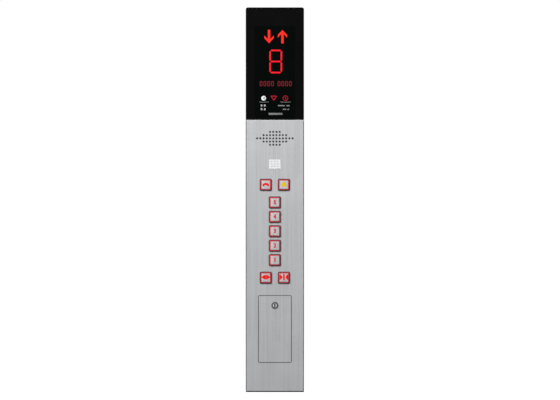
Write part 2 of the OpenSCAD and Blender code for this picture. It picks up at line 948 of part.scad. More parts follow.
module switch_plate() {
    corner_x = switch_w / 2 - 6;
    corner_z = switch_h / 2 - 6;
    hole_w = rocker_w - rocker_rim + 2 * fit;
    hole_h = rocker_h - rocker_rim + 2 * fit;
    color(steel) {
        difference() {
            slab(recess_d, recess_d + switch_t)
                translate([0, switch_z]) round_rect(switch_w, switch_h, 3);
            slab(recess_d - 1, recess_d + switch_t + 1) {
                for (x = [-1, 1]) translate([x * rocker_x, rocker_z]) square([hole_w, hole_h], center = true);
                translate([0, key_z]) circle(key_r - 2 + fit);
            }
        }
        for (x = [-1, 1], z = [-1, 1]) pan_head(x * corner_x, switch_z + z * corner_z, recess_d);
    }
}

// The head of a pan-head screw whose underside lies at a depth
module pan_head(x, z, depth) {
    turned(x, z) polygon([
        [0, depth - 1.5], [1.6, depth - 1.5], [2.8, depth - 0.6], [2.8, depth], [0, depth]
    ]);
}

module service_door() {
    ear_r = pivot_r + 2;
    color(steel) difference() {
        union() {
            slab(0, plate_t) translate([0, door_bottom + door_h / 2]) round_rect(door_w, door_h, door_r);
            for (x = [-ear_x, ear_x - ear_t]) across(x, x + ear_t) {
                translate([pivot_in, pivot_z]) circle(ear_r);
                polygon([
                    [plate_t, pivot_z - ear_r], [pivot_in, pivot_z - ear_r], [pivot_in + ear_r, pivot_z],
                    [pivot_in + 2, pivot_z + 8], [plate_t, pivot_z + 20]
                ]);
            }
        }
        slab(-1, plate_t + 1) translate([0, lock_z]) circle(barrel_r + fit / 2);
        pivot_axis() cylinder(r = pivot_r + run_gap, h = door_w, center = true);
    }
}

// A shallow pan spot-welded behind the door
pan_t = 1.2;
pan_d = 8;

module door_stiffener() {
    bottom = pivot_z + 14;
    top = lock_z - lock_nut_r - 10;
    width = door_w - 16;
    color(zinc) translate([0, 0, (top + bottom) / 2]) difference() {
        slab(plate_t, plate_t + pan_d) round_rect(width, top - bottom, 3);
        slab(plate_t - 1, plate_t + pan_d - pan_t) round_rect(width - 2 * pan_t, top - bottom - 2 * pan_t, 2);
    }
}

// Shouldered pins, riveted into the tray's sides, that the door's ears turn on
module pivot_pins() {
    wall_x = tray_w / 2;
    head = 1.2;
    inner = ear_x - ear_t - 0.8;
    shoulder = ear_x + 0.2;
    color(steel) pivot_axis() for (a = [0, 180]) rotate([a, 0, 0]) {
        translate([0, 0, inner]) cylinder(r = pivot_r, h = wall_x + tray_t + head - inner);
        translate([0, 0, shoulder]) cylinder(r = pivot_r + 1, h = wall_x - shoulder);
        translate([0, 0, wall_x + tray_t]) cylinder(r = pivot_head_r, h = head);
    }
}

face_out = 1.6;

// The lock's housing has a collar on the door's front and a threaded body behind
module lock_barrel() {
    color(satin) turned(0, lock_z) difference() {
        union() {
            translate([0, -face_out]) square([lock_r, face_out]);
            square([barrel_r, barrel_d]);
        }
        translate([0, -face_out - 1]) square([plug_r + run_gap, barrel_d + face_out + 2]);
    }
}

lock_nut_r = 12.5;

module lock_nut() {
    color(zinc) slab(plate_t, plate_t + 3.5) translate([0, lock_z]) difference() {
        circle(lock_nut_r, $fn = 6);
        circle(barrel_r + run_gap);
    }
}

slot_w = 3;
slot_h = 10.4;

// The plug turns in the barrel and carries the cam
module lock_plug() {
    cam_end_r = 5;
    color(bright) {
        difference() {
            slab(-face_out + 0.2, cam_from) translate([0, lock_z]) circle(plug_r);
            slab(-face_out - 1, 9) translate([0, lock_z]) square([slot_w, slot_h], center = true);
        }
        slab(cam_from, cam_from + cam_t) translate([0, lock_z]) {
            circle(8);
            translate([0, -cam_end_r]) square([cam_reach - cam_end_r, 2 * cam_end_r]);
            translate([cam_reach - cam_end_r, 0]) circle(cam_end_r);
        }
        slab(cam_from + cam_t, cam_from + cam_t + 2.2) translate([0, lock_z]) circle(3.6, $fn = 6);
    }
}

// An angle under the tray's top wall, which the cam turns up behind
module lock_keeper() {
    front = cam_from - keeper_gap - keeper_t;
    color(zinc) across(-14, 14) {
        translate([front, tray_top - keeper_h]) square([keeper_t, keeper_h]);
        translate([front - 8, tray_top - keeper_t]) square([8, keeper_t]);
    }
}

module rocker_frames() {
    in_w = rocker_w - rocker_rim;
    in_h = rocker_h - rocker_rim;
    color(black) for (x = [-1, 1]) translate([x * rocker_x, 0, rocker_z]) difference() {
        union() {
            slab(recess_d - rocker_out, recess_d) round_rect(rocker_w + 2, rocker_h + 2, 1.5);
            slab(recess_d, recess_d + 17) square([in_w, in_h], center = true);
        }
        slab(recess_d - rocker_out - 1, recess_d + 9) square([in_w - 2, in_h - 2], center = true);
    }
}

// A rocker lies tilted in its frame and flips the other way about a level axis
rocker_pivot = recess_d + 2.5;

module rocker(x) {
    wide = rocker_w - rocker_rim - 2 - 2 * cap_gap;
    half = (rocker_h - rocker_rim - 2) / 2 - 1;
    color(white) translate([0, rocker_pivot - panel_d, rocker_z]) rotate([-rocker_tilt, 0, 0])
        translate([x - wide / 2, 0, 0]) rotate([90, 0, 90]) linear_extrude(wide) polygon([
            [-7.6, -half], [-5.4, 0], [-7.6, half], [-2, half - 0.4],
            [3, 4], [3, -4], [-2, -half + 0.4]
        ]);
}

key_plug_r = 5.5;

module key_switch_body() {
    color(satin) turned(0, key_z) difference() {
        union() {
            translate([0, recess_d - 3]) square([key_r, 3]);
            translate([0, recess_d]) square([key_r - 2, 18]);
        }
        translate([0, recess_d - 4]) square([key_plug_r + run_gap, 14]);
    }
}

module key_switch_plug() {
    color(bright) difference() {
        slab(recess_d - 3.4, recess_d + 10) translate([0, key_z]) circle(key_plug_r);
        slab(recess_d - 4, recess_d + 4) translate([0, key_z]) square([2, 7], center = true);
    }
}

control_w = 124;
control_h = 190;
control_z = floor_z - 2 * floor_pitch;
standoff = 8;

// The control board stands on pillars from the box's floor and carries relays, terminals and a sounder
module control_board() {
    back = floor_d - standoff;
    front = back - board_t;
    edge = control_h / 2;
    color(green) translate([0, 0, control_z]) {
        slab(front, back) round_rect(control_w, control_h, 3);
        slab(back, floor_d) for (x = [-1, 1], z = [-1, 1])
            translate([x * (control_w / 2 - 7), z * (edge - 7)]) circle(3);
        // terminal blocks along the top and bottom
        slab(front - 11, front) for (z = [-1, 1])
            translate([0, z * (edge - 18)]) square([84, 9], center = true);
        // relays
        slab(front - 15, front) for (i = [0 : 3])
            translate([24 * i - 36, -48]) square([15, 20], center = true);
        // processor and its socket strip
        slab(front - 2, front) translate([-20, 8]) square([20, 20], center = true);
        slab(front - 9, front) translate([0, 36]) square([60, 6], center = true);
        // capacitors and the sounder
        slab(front - 16, front) for (x = [22, 38]) translate([x, 12]) circle(6.3);
        slab(front - 9, front) translate([34, -18]) circle(8);
    }
}

back_box();
cable_bushing();
faceplate();
stiffening_rails();
window_frame();
display_window();
trim_strip();
front_screws();
weld_nuts();
display_housing();
display_board();
digit_module();
digit_bars();
arrow_module();
arrow_lights();
load_module();
load_bars();
status_module();
status_lights();
dust_screen();
speaker_gasket();
speaker_frame();
speaker_cone();
speaker_magnet();
speaker_clips();
microphone();
lamp_lens();
lamp_housing();
lamp_board();
floor_bezels();
function_bezels();
light_rings();
button_clamps();
button_springs();
button_boards();
button_covers();
button_cap(floor_spots[0]);  // cap_floor_5
button_cap(floor_spots[1]);  // cap_floor_4
button_cap(floor_spots[2]);  // cap_floor_3
button_cap(floor_spots[3]);  // cap_floor_2
button_cap(floor_spots[4]);  // cap_floor_1
button_cap(intercom_spot);  // cap_intercom
button_cap(alarm_spot);  // cap_alarm
button_cap(open_spot);  // cap_door_open
button_cap(close_spot);  // cap_door_close
service_tray();
switch_plate();
service_door();
door_stiffener();
pivot_pins();
lock_barrel();
lock_nut();
lock_plug();
lock_keeper();
rocker_frames();
rocker(-rocker_x);  // rocker_fan
rocker(rocker_x);  // rocker_light
key_switch_body();
key_switch_plug();
control_board();
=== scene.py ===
"""Looks of an elevator car operating panel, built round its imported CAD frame.

Right is +X, up is +Z and the room is towards -Y. Shapes and places on the panel are in millimetres.
The grain of materials, the lights and the floor are in metres.
"""

import math

import bmesh
import bpy
from mathutils import Matrix, Vector
from mathutils.bvhtree import BVHTree


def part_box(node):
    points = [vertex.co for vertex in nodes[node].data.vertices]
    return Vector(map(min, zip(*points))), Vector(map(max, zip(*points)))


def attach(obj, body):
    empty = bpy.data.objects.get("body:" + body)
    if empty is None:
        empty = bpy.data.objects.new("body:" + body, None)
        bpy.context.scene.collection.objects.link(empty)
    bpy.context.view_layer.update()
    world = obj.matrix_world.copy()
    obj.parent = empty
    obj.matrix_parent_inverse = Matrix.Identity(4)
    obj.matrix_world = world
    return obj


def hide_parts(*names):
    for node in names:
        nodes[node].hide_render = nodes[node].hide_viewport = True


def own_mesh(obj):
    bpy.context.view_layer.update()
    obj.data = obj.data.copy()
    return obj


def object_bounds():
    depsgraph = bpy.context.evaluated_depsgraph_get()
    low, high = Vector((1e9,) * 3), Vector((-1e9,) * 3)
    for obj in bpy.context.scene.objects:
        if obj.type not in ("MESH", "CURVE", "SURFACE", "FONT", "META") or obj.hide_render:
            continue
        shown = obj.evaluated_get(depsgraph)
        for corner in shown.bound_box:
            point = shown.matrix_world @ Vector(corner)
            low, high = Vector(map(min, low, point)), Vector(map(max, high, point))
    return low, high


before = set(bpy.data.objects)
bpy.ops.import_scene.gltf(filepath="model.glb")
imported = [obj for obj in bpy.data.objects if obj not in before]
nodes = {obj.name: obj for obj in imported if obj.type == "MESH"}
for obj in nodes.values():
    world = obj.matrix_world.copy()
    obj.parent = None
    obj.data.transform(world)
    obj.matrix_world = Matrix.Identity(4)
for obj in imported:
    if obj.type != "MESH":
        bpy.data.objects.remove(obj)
cad_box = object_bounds()
scene = bpy.context.scene

MM = 0.001
ROOT = "root"


# Places read from the frame

def limits(node):
    """Lowest and highest corner of a CAD node in millimetres."""
    low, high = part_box(node)
    return low / MM, high / MM


def middle(node):
    """Middle of a CAD node's box in millimetres."""
    low, high = limits(node)
    return (low + high) / 2


WINDOW_FRONT = limits("display_window")[0].y
PLATE_FRONT = limits("faceplate")[0].y
CAP_FRONT = limits("cap_floor_5")[0].y
RING_FRONT = limits("light_rings")[0].y
RING_BACK = limits("light_rings")[1].y
BUTTONS = [
    ("floor_5", "5"), ("floor_4", "4"), ("floor_3", "3"), ("floor_2", "2"), ("floor_1", "1"),
    ("intercom", "handset"), ("alarm", "bell"), ("door_open", "outward"), ("door_close", "inward"),
]


# Outlines in X and Z

SIDE_SHARE = 2.2


def arc(x, z, r, start, stop, steps=6):
    """Points on an arc between two angles in degrees."""
    angles = [math.radians(start + (stop - start) * i / steps) for i in range(steps + 1)]
    return [(x + r * math.cos(a), z + r * math.sin(a)) for a in angles]


def circle(x, z, r, steps=40):
    """A full circle, without its first point twice."""
    return arc(x, z, r, 0, 360, steps)[:-1]


def rounded(w, h, r, x=0.0, z=0.0):
    """A rectangle with round corners, its middle at x and z."""
    points = []
    for sx, sz, start in ((1, 1, 0), (-1, 1, 90), (-1, -1, 180), (1, -1, 270)):
        points += arc(x + sx * (w / 2 - r), z + sz * (h / 2 - r), r, start, start + 90)
    return points


def soften(points, r, steps=4):
    """The outline with each corner rounded by at most r, and by less where its sides are short.

    A rounding takes at most a SIDE_SHARE-th of a side, so that two never meet.
    """
    out = []
    for i, here in enumerate(points):
        corner = Vector(here)
        to_last = Vector(points[i - 1]) - corner
        to_next = Vector(points[(i + 1) % len(points)]) - corner
        reach = min(r, to_last.length / SIDE_SHARE, to_next.length / SIDE_SHARE)
        start = corner + to_last.normalized() * reach
        stop = corner + to_next.normalized() * reach
        for k in range(steps + 1):
            t = k / steps
            out.append(tuple((1 - t) ** 2 * start + 2 * t * (1 - t) * corner + t * t * stop))
    return out


def inset(points, d):
    """The outline moved inward by d. Its points run anticlockwise."""
    out = []
    for i, here in enumerate(points):
        p = Vector(here)
        a = (p - Vector(points[i - 1])).normalized()
        b = (Vector(points[(i + 1) % len(points)]) - p).normalized()
        inward = Vector((-a.y, a.x)) + Vector((-b.y, b.x))
        out.append(tuple(p + inward * d / (1 + a.dot(b))))
    return out


def moved(points, x, z, turn=0.0):
    """The outline turned anticlockwise by some degrees and then moved."""
    c, s = math.cos(math.radians(turn)), math.sin(math.radians(turn))
    return [(x + c * px - s * pz, z + s * px + c * pz) for px, pz in points]


# Pieces

# Metres: the distance at which points merge, and the depth from which rays look for a surface.
MERGE = 1e-7
RAY_START = -1.0

# Degrees: edges sharper than this stay sharp.
FLAT_SMOOTH = 35
ROUND_SMOOTH = 60

# Millimetres: how deep an inlay reaches into what carries it.
SINK = 0.05
BEVEL_STEPS = 2


def finish_mesh(mesh, name, material, body, centre=(0, 0, 0), smooth=FLAT_SMOOTH):
    """Makes a mesh in millimetres into a piece that rides on a body, with its origin at centre."""
    mesh.transform(Matrix.Translation(-Vector(centre)))
    mesh.transform(Matrix.Scale(MM, 4))
    work = bmesh.new()
    work.from_mesh(mesh)
    bmesh.ops.remove_doubles(work, verts=work.verts, dist=MERGE)
    bmesh.ops.recalc_face_normals(work, faces=work.faces)
    work.to_mesh(mesh)
    work.free()
    mesh.shade_smooth()
    mesh.set_sharp_from_angle(angle=math.radians(smooth))
    mesh.name = name
    piece = bpy.data.objects.new(name, mesh)
    piece.location = Vector(centre) * MM
    scene.collection.objects.link(piece)
    mesh.materials.clear()
    mesh.materials.append(material)
    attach(piece, body)
    return piece


def curve_mesh(curve, front, back, bevel, grow=0.0):
    """The closed mesh of a flat curve, standing in X and Z between two depths."""
    curve.fill_mode = "BOTH"
    curve.extrude = (back - front) / 2 - bevel
    curve.bevel_depth = bevel
    curve.bevel_resolution = BEVEL_STEPS
    curve.offset = grow - bevel
    holder = bpy.data.objects.new("outline", curve)
    scene.collection.objects.link(holder)
    graph = bpy.context.evaluated_depsgraph_get()
    mesh = bpy.data.meshes.new_from_object(holder.evaluated_get(graph))
    bpy.data.objects.remove(holder)
    mesh.transform(Matrix.Translation((0, (front + back) / 2, 0)) @ Matrix.Rotation(math.pi / 2, 4, "X"))
    return mesh


def plate(name, outlines, front, back, material, bevel=0.0, body=ROOT):
    """A piece cut from flat sheet. An outline inside another is a hole in it."""
    curve = bpy.data.curves.new(name, "CURVE")
    curve.dimensions = "2D"
    for outline in outlines:
        spline = curve.splines.new("POLY")
        spline.points.add(len(outline) - 1)
        for p, (x, z) in zip(spline.points, outline):
            p.co = (x, z, 0, 1)
        spline.use_cyclic_u = True
    return finish_mesh(curve_mesh(curve, front, back, bevel), name, material, body)


def inlay(name, node, outlines, proud, material, body=ROOT):
    """Thin dark shapes laid on the front of a CAD node, however it slopes there."""
    surface = BVHTree.FromObject(nodes[node], bpy.context.evaluated_depsgraph_get())
    piece = plate(name, outlines, 0, proud + SINK, material, body=body)
    for v in piece.data.vertices:
        start = Vector((v.co.x, RAY_START, v.co.z))
        hit = surface.ray_cast(start, Vector((0, 1, 0)))[0]
        v.co.y += hit.y - proud * MM


def loft(name, loops, material, closed=False, centre=(0, 0, 0)):
    """Skins loops of points. The last loop joins the first, or the end loops are closed with a face."""
    work = bmesh.new()
    rings = [[work.verts.new(p) for p in loop] for loop in loops]
    count = len(rings[0])
    pairs = list(zip(rings, rings[1:])) + ([(rings[-1], rings[0])] if closed else [])
    for a, b in pairs:
        for i in range(count):
            k = (i + 1) % count
            work.faces.new((a[i], a[k], b[k], b[i]))
    if not closed:
        work.faces.new(rings[0][::-1])
        work.faces.new(rings[-1])
    mesh = bpy.data.meshes.new(name)
    work.to_mesh(mesh)
    work.free()
    return finish_mesh(mesh, name, material, ROOT, centre, ROUND_SMOOTH)


# Shader building

BEVEL_SAMPLES = 4
FADE = 1.0


def tinted(colour, factor):
    """The colour, darker or brighter by a factor."""
    return tuple(min(1, c * factor) for c in colour)


class Nodes:
    """Adds nodes to a tree. A value is a number, a colour or another node's socket."""

    def __init__(self, tree):
        self.tree = tree

    def add(self, kind, links=(), **settings):
        """A node with its settings, and with values on its inputs."""
        node = self.tree.nodes.new(kind)
        for key, value in settings.items():
            setattr(node, key, value)
        for socket, value in dict(links).items():
            if isinstance(value, bpy.types.NodeSocket):
                self.tree.links.new(value, node.inputs[socket])
            else:
                node.inputs[socket].default_value = value
        return node

    def scaled(self, value, low, high, start=0.25, stop=0.75, smooth=False):
        """Maps a value from the range start to stop into the range low to high."""
        links = {0: value, 1: start, 2: stop, 3: low, 4: high}
        kind = "SMOOTHSTEP" if smooth else "LINEAR"
        return self.add("ShaderNodeMapRange", links, interpolation_type=kind).outputs[0]

    def maths(self, operation, a, b=0.0):
        """A sum, product or other operation on one or two values."""
        return self.add("ShaderNodeMath", {0: a, 1: b}, operation=operation).outputs[0]


class Shader(Nodes):
    """A material whose Principled shader is fed by textures in the object's own coordinates."""

    def __init__(self, name, colour, rough, metal=0.0, **sockets):
        self.material = bpy.data.materials.new(name)
        self.material.use_nodes = True
        super().__init__(self.material.node_tree)
        self.base = self.tree.nodes["Principled BSDF"]
        self.put("Base Color", (*colour, 1))
        self.put("Roughness", rough)
        self.put("Metallic", metal)
        for socket, value in sockets.items():
            self.put(socket.replace("_", " "), value)
        self.place = self.add("ShaderNodeTexCoord").outputs["Object"]

    def put(self, socket, value):
        """Sets one of the shader's own sockets."""
        self.base.inputs[socket].default_value = value

    def feed(self, socket, value):
        """Links a texture to one of the shader's own sockets."""
        self.tree.links.new(value, self.base.inputs[socket])

    def axes(self):
        """The object's X, Y and Z at the shaded point, in metres."""
        return self.add("ShaderNodeSeparateXYZ", {0: self.place}).outputs

    def stretch(self, x=1.0, z=1.0):
        """Coordinates in which a texture is drawn out along X or Z."""
        links = {"Vector": self.place, "Scale": (x, 1.0, z)}
        return self.add("ShaderNodeMapping", links).outputs["Vector"]

    def noise(self, scale, detail, place=None, rough=0.5):
        """Cloudy grain. Scale counts its lumps to a metre."""
        links = {"Vector": place or self.place, "Scale": scale, "Detail": detail, "Roughness": rough}
        return self.add("ShaderNodeTexNoise", links).outputs["Fac"]

    def cells(self, scale, output, **settings):
        """Crystals or patches. Scale counts them to a metre."""
        links = {"Vector": self.place, "Scale": scale}
        return self.add("ShaderNodeTexVoronoi", links, **settings).outputs[output]

    def mix(self, factor, a, b):
        """Blends two colours, each a socket or three numbers."""
        a, b = [c if isinstance(c, bpy.types.NodeSocket) else (*c, 1) for c in (a, b)]
        return self.add("ShaderNodeMix", {0: factor, 6: a, 7: b}, data_type="RGBA").outputs[2]

    def blend(self, value, a, b, start=0.25, stop=0.75):
        """Goes from one colour to another as a value goes from start to stop."""
        return self.mix(self.scaled(value, 0, 1, start, stop), a, b)

    def bump(self, height, distance, strength):
        """Raises the surface where height is 1, by a distance in metres."""
        links = {"Height": height, "Distance": distance, "Strength": strength}
        self.feed("Normal", self.add("ShaderNodeBump", links).outputs["Normal"])

    def edges(self, radius, start=0.75, stop=0.995):
        """Near 1 along the piece's edges and 0 on its flats."""
        soft = self.add("ShaderNodeBevel", {"Radius": radius}, samples=BEVEL_SAMPLES).outputs["Normal"]
        hard = self.add("ShaderNodeNewGeometry").outputs["Normal"]
        near = self.add("ShaderNodeVectorMath", {0: soft, 1: hard}, operation="DOT_PRODUCT")
        return self.scaled(near.outputs["Value"], 1.0, 0.0, start, stop)

    def worn(self, colour, radius, amount, other, start=0.75, stop=0.995):
        """Brings in another colour along the piece's edges."""
        share = self.scaled(self.edges(radius, start, stop), 0, amount, 0, 1)
        return self.mix(share, colour, other)

    def over(self, node, spare):
        """1 in front of a CAD node and as far round it as spare."""
        low, high = limits(node)
        parts = self.axes()
        share = None
        for axis, a, b in (("X", low.x, high.x), ("Z", low.z, high.z)):
            off = self.maths("ABSOLUTE", self.maths("SUBTRACT", parts[axis], (a + b) / 2 * MM))
            half = (b - a) / 2 + spare
            near = self.scaled(off, 1, 0, half * MM, (half + FADE) * MM)
            share = self.maths("MULTIPLY", share, near) if share else near
        return share


# Metals

# The first colour is dirt in edges and painted shade on the steel front. The second is grime in metal
# edges.
DIRT_AND_SHADE = (0.03, 0.031, 0.036)
GRIME = (0.02, 0.02, 0.021)

# Millimetres in from the front's faces between which a bend's painted shade fades.
FOLD_DEPTH = (2.0, 3.0)
FOLD_SIDE = (3.1, 1.7)
FOLD_FOOT = (3.3, 4.7)


def folds(s):
    """Near 1 on the bends round the front's rim, where shade is painted in."""
    low, high = limits("faceplate")
    parts = s.axes()
    front = s.scaled(parts["Y"], 1, 0, *[(low.y + d) * MM for d in FOLD_DEPTH], smooth=True)
    out = s.maths("ABSOLUTE", parts["X"])
    side = s.scaled(out, 0, 1, *[(high.x - d) * MM for d in FOLD_SIDE], smooth=True)
    foot = s.scaled(parts["Z"], 1, 0, *[(low.z + d) * MM for d in FOLD_FOOT], smooth=True)
    return s.maths("MULTIPLY", s.maths("MAXIMUM", side, foot), front)


def brushed(name, tone, rough=0.3, front=True, contrast=0.08):
    """Stainless steel with long upright hairlines, broad streaks and a few smudges.

    Dirt darkens its edges. The front's also has painted shade on its bends, round its grille's holes and
    in the gap round its door.
    Only the front's is anisotropic, because the tangent that Blender makes for the switch plate fails and
    leaves black spots.
    """
    s = Shader(name, (tone, tone, tone), rough, 0.65, Anisotropic=0.7 if front else 0.0)
    hair = s.noise(2200, 2, s.stretch(z=0.0016))
    streak = s.noise(420, 2, s.stretch(z=0.006))
    band = s.noise(110, 2, s.stretch(z=0.02))
    grain = s.maths("ADD", s.scaled(hair, -0.5, 0.5), s.scaled(streak, -0.8, 0.8))
    grain = s.maths("ADD", grain, s.scaled(band, -1.0, 1.0))
    dark, light = tone * (1 - contrast), tone * (1 + contrast)
    valley, crest = (dark, dark * 1.005, dark * 1.02), (light, light, light * 1.012)
    colour = s.blend(grain, valley, crest, -1.4, 1.4)
    # Dirt in the edges, mixed in as a darker colour.
    dirt_and_shade = s.scaled(s.edges(0.0007), 0, 0.8, 0, 1)
    smudge = s.noise(11, 4, rough=0.6)
    matt = s.maths("ADD", s.scaled(hair, rough - 0.04, rough + 0.04), s.scaled(smudge, 0, 0.06, 0.5, 0.75))
    if front:
        # Painted shade round the grille's holes, in the door's gap and on the bends.
        grille = s.maths("MULTIPLY", s.over("dust_screen", 0), s.edges(0.0016, 0.93, 0.9995))
        gap = s.maths("MULTIPLY", s.over("service_door", 4), s.edges(0.0013))
        bend = folds(s)
        for part in (bend, grille, gap):
            dirt_and_shade = s.maths("MAXIMUM", dirt_and_shade, part)
        matt = s.maths("MAXIMUM", matt, bend)
    s.feed("Base Color", s.mix(dirt_and_shade, colour, DIRT_AND_SHADE))
    s.feed("Roughness", matt)
    s.bump(hair, 0.000012, 0.35)
    return s.material


def zinc(name, tone=0.5):
    """Galvanised sheet with its frosty crystals."""
    s = Shader(name, (tone, tone, tone), 0.42, 0.85)
    flake = s.add("ShaderNodeSeparateColor", {0: s.cells(170, "Color")}).outputs[0]
    cloud = s.noise(22, 4)
    mixed = s.maths("ADD", s.scaled(flake, -0.5, 0.5, 0, 1), s.scaled(cloud, -0.15, 0.15))
    dark, light = (tone * 0.88, tone * 0.9, tone * 0.92), (tone * 1.08,) * 3
    colour = s.blend(mixed, dark, light, -0.65, 0.65)
    s.feed("Base Color", s.worn(colour, 0.0008, 0.4, (0.75, 0.76, 0.77)))
    s.feed("Roughness", s.scaled(flake, 0.38, 0.48, 0, 1))
    s.bump(s.noise(700, 3), 0.00004, 0.3)
    return s.material


def polished(name, colour, rough, metal=1.0, grime=0.0):
    """Machined or plated metal with fine turning marks, handling haze and dirt in its edges."""
    s = Shader(name, colour, rough, metal)
    fine = s.noise(1800, 3)
    haze = s.noise(120, 4)
    shade = s.blend(haze, tinted(colour, 0.88), tinted(colour, 1.08))
    if grime:
        shade = s.worn(shade, grime, 0.9, GRIME, 0.85, 0.998)
    s.feed("Base Color", shade)
    turned = s.scaled(fine, rough - 0.04, rough + 0.05)
    s.feed("Roughness", s.maths("ADD", turned, s.scaled(haze, 0, 0.08, 0.5, 0.8)))
    s.bump(fine, 0.00001, 0.4)
    return s.material


def satin(name, tone=0.51):
    """The caps' pearl-chromed face, with a painted highlight along its edges."""
    s = Shader(name, (tone, tone, tone), 0.34, 0.45, Anisotropic=0.3)
    hair = s.noise(2600, 2, s.stretch(x=0.03))
    cloud = s.noise(90, 3)
    dark = (tone * 0.93, tone * 0.955, tone * 0.95)
    light = (tone * 1.04, tone * 1.06, tone * 1.05)
    # The near-white colour along the edges is a painted highlight.
    s.feed("Base Color", s.worn(s.blend(hair, dark, light), 0.0004, 0.6, (0.95, 0.96, 0.96)))
    s.feed("Roughness", s.scaled(cloud, 0.28, 0.42))
    s.bump(hair, 0.00002, 0.3)
    return s.material


# Plastics, paint, rubber, cloth and print

def plastic(name, colour, rough, grain=1400, wear=0.25):
    """Moulded plastic with a fine spark-eroded grain, paler along its edges."""
    s = Shader(name, colour, rough)
    skin = s.noise(grain, 3)
    shade = s.blend(s.noise(60, 3), tinted(colour, 0.86), tinted(colour, 1.12))
    pale = tuple(min(1, c * 1.3 + 0.05) for c in colour)
    s.feed("Base Color", s.worn(shade, 0.0004, wear, pale))
    s.feed("Roughness", s.scaled(skin, rough - 0.06, rough + 0.1))
    s.bump(skin, 0.00004, 0.35)
    return s.material


def paint(name, colour, rough=0.42):
    """Baked paint with a fine orange peel."""
    s = Shader(name, colour, rough)
    peel = s.noise(520, 2)
    dust = s.noise(90, 4)
    s.feed("Base Color", s.blend(dust, tinted(colour, 0.85), tinted(colour, 1.2)))
    s.feed("Roughness", s.scaled(dust, rough - 0.05, rough + 0.12))
    s.bump(peel, 0.00008, 0.35)
    return s.material


def rubber(name):
    """Black rubber with a grey bloom."""
    colour = (0.018, 0.018, 0.019)
    s = Shader(name, colour, 0.75)
    bloom = s.noise(160, 4)
    s.feed("Base Color", s.blend(bloom, colour, tinted(colour, 2.2), 0.4, 0.8))
    s.feed("Roughness", s.scaled(bloom, 0.66, 0.86))
    s.bump(s.noise(1500, 2), 0.00005, 0.4)
    return s.material


def smoked(name):
    """Glossy smoked acrylic. The display's dark field shows faintly through it."""
    s = Shader(name, (0.005, 0.005, 0.005), 0.07, IOR=1.49)
    parts = s.axes()
    low, high = limits("display_housing")
    side = s.maths("ABSOLUTE", s.maths("SUBTRACT", parts["X"], (low.x + high.x) / 2 * MM))
    half = (high.x - low.x) / 2
    across = s.scaled(side, 1, 0, (half - 2) * MM, (half + 1) * MM, smooth=True)
    down = s.scaled(parts["Z"], 1, 0, (high.z - 40) * MM, (high.z - 34) * MM, smooth=True)
    field = s.maths("MULTIPLY", across, down)
    pane = s.blend(s.noise(9, 4, rough=0.6), (0.0023, 0.0022, 0.0023), (0.0031, 0.0030, 0.0031))
    s.feed("Base Color", s.mix(field, pane, (0.0012, 0.0019, 0.0016)))
    smear = s.noise(30, 5, s.stretch(z=0.4), 0.7)
    s.feed("Roughness", s.scaled(smear, 0.05, 0.15, 0.4, 0.8))
    s.bump(s.noise(7, 2), 0.0002, 0.15)
    return s.material


def circuit(name):
    """Green solder resist over copper tracks, with tinned dots."""
    s = Shader(name, (0.012, 0.09, 0.035), 0.35)
    track = s.scaled(s.cells(260, "Distance", feature="DISTANCE_TO_EDGE"), 1, 0, 0.02, 0.05)
    board = s.blend(s.noise(300, 3), (0.008, 0.07, 0.028), (0.014, 0.10, 0.04))
    traced = s.mix(track, board, (0.03, 0.17, 0.06))
    pad = s.scaled(s.cells(420, "Distance"), 1, 0, 0.08, 0.12)
    s.feed("Base Color", s.mix(pad, traced, (0.62, 0.6, 0.52)))
    s.feed("Roughness", s.scaled(s.noise(800, 2), 0.28, 0.42))
    s.bump(s.maths("ADD", track, pad), 0.00003, 0.5)
    return s.material


def woven(name, colour, pitch=0.0011):
    """A fine plain weave."""
    s = Shader(name, colour, 0.8, Sheen_Weight=0.1)
    parts = s.axes()
    turns = 2 * math.pi / pitch
    warp = s.maths("SINE", s.maths("MULTIPLY", parts["X"], turns))
    weft = s.maths("SINE", s.maths("MULTIPLY", parts["Z"], turns))
    cloth = s.maths("MULTIPLY", warp, weft)
    s.feed("Base Color", s.blend(cloth, tinted(colour, 0.5), tinted(colour, 1.8), -1, 1))
    s.bump(cloth, 0.0001, 0.6)
    return s.material


def paper(name):
    """Dark pressed paper with its fibres."""
    s = Shader(name, (0.02, 0.02, 0.022), 0.85)
    fibre = s.noise(700, 5, rough=0.7)
    s.feed("Base Color", s.blend(fibre, (0.012, 0.012, 0.013), (0.04, 0.04, 0.042)))
    s.bump(fibre, 0.0001, 0.6)
    return s.material


def ink(name, colour):
    """Screen printing, slightly uneven, with a faint painted glow."""
    # The faint emission is painted light.
    s = Shader(name, colour, 0.5, Emission_Strength=0.12)
    tone = s.blend(s.noise(600, 3), tinted(colour, 0.75), colour)
    s.feed("Base Color", tone)
    s.feed("Emission Color", tone)
    return s.material


# What is lit

# The ring light fades from the inner to the outer distance from its middle, and sooner on its right and
# lower sides as painted shade.
HALO_INNER = 14.0
HALO_OUTER = 17.3
HALO_SHADE_RIGHT = 1.1
HALO_SHADE_DOWN = 1.8
HALO_STOPS = [
    (0.0, (0.72, 0.10, 0.13)), (0.35, (0.58, 0.035, 0.05)), (0.75, (0.34, 0.012, 0.03)),
    (1.0, (0.12, 0.004, 0.012)),
]
LENS_CELLS = 4


def glowing(name, colour, strength, unlit=0.08):
    """Lit coloured plastic. Its light falls off softly between the lamps behind it."""
    s = Shader(name, tinted(colour, unlit), 0.35, Emission_Strength=strength, Specular_IOR_Level=0.2)
    s.feed("Emission Color", s.blend(s.noise(150, 2), tinted(colour, 0.78), colour))
    s.feed("Roughness", s.scaled(s.noise(900, 2), 0.28, 0.42))
    return s.material


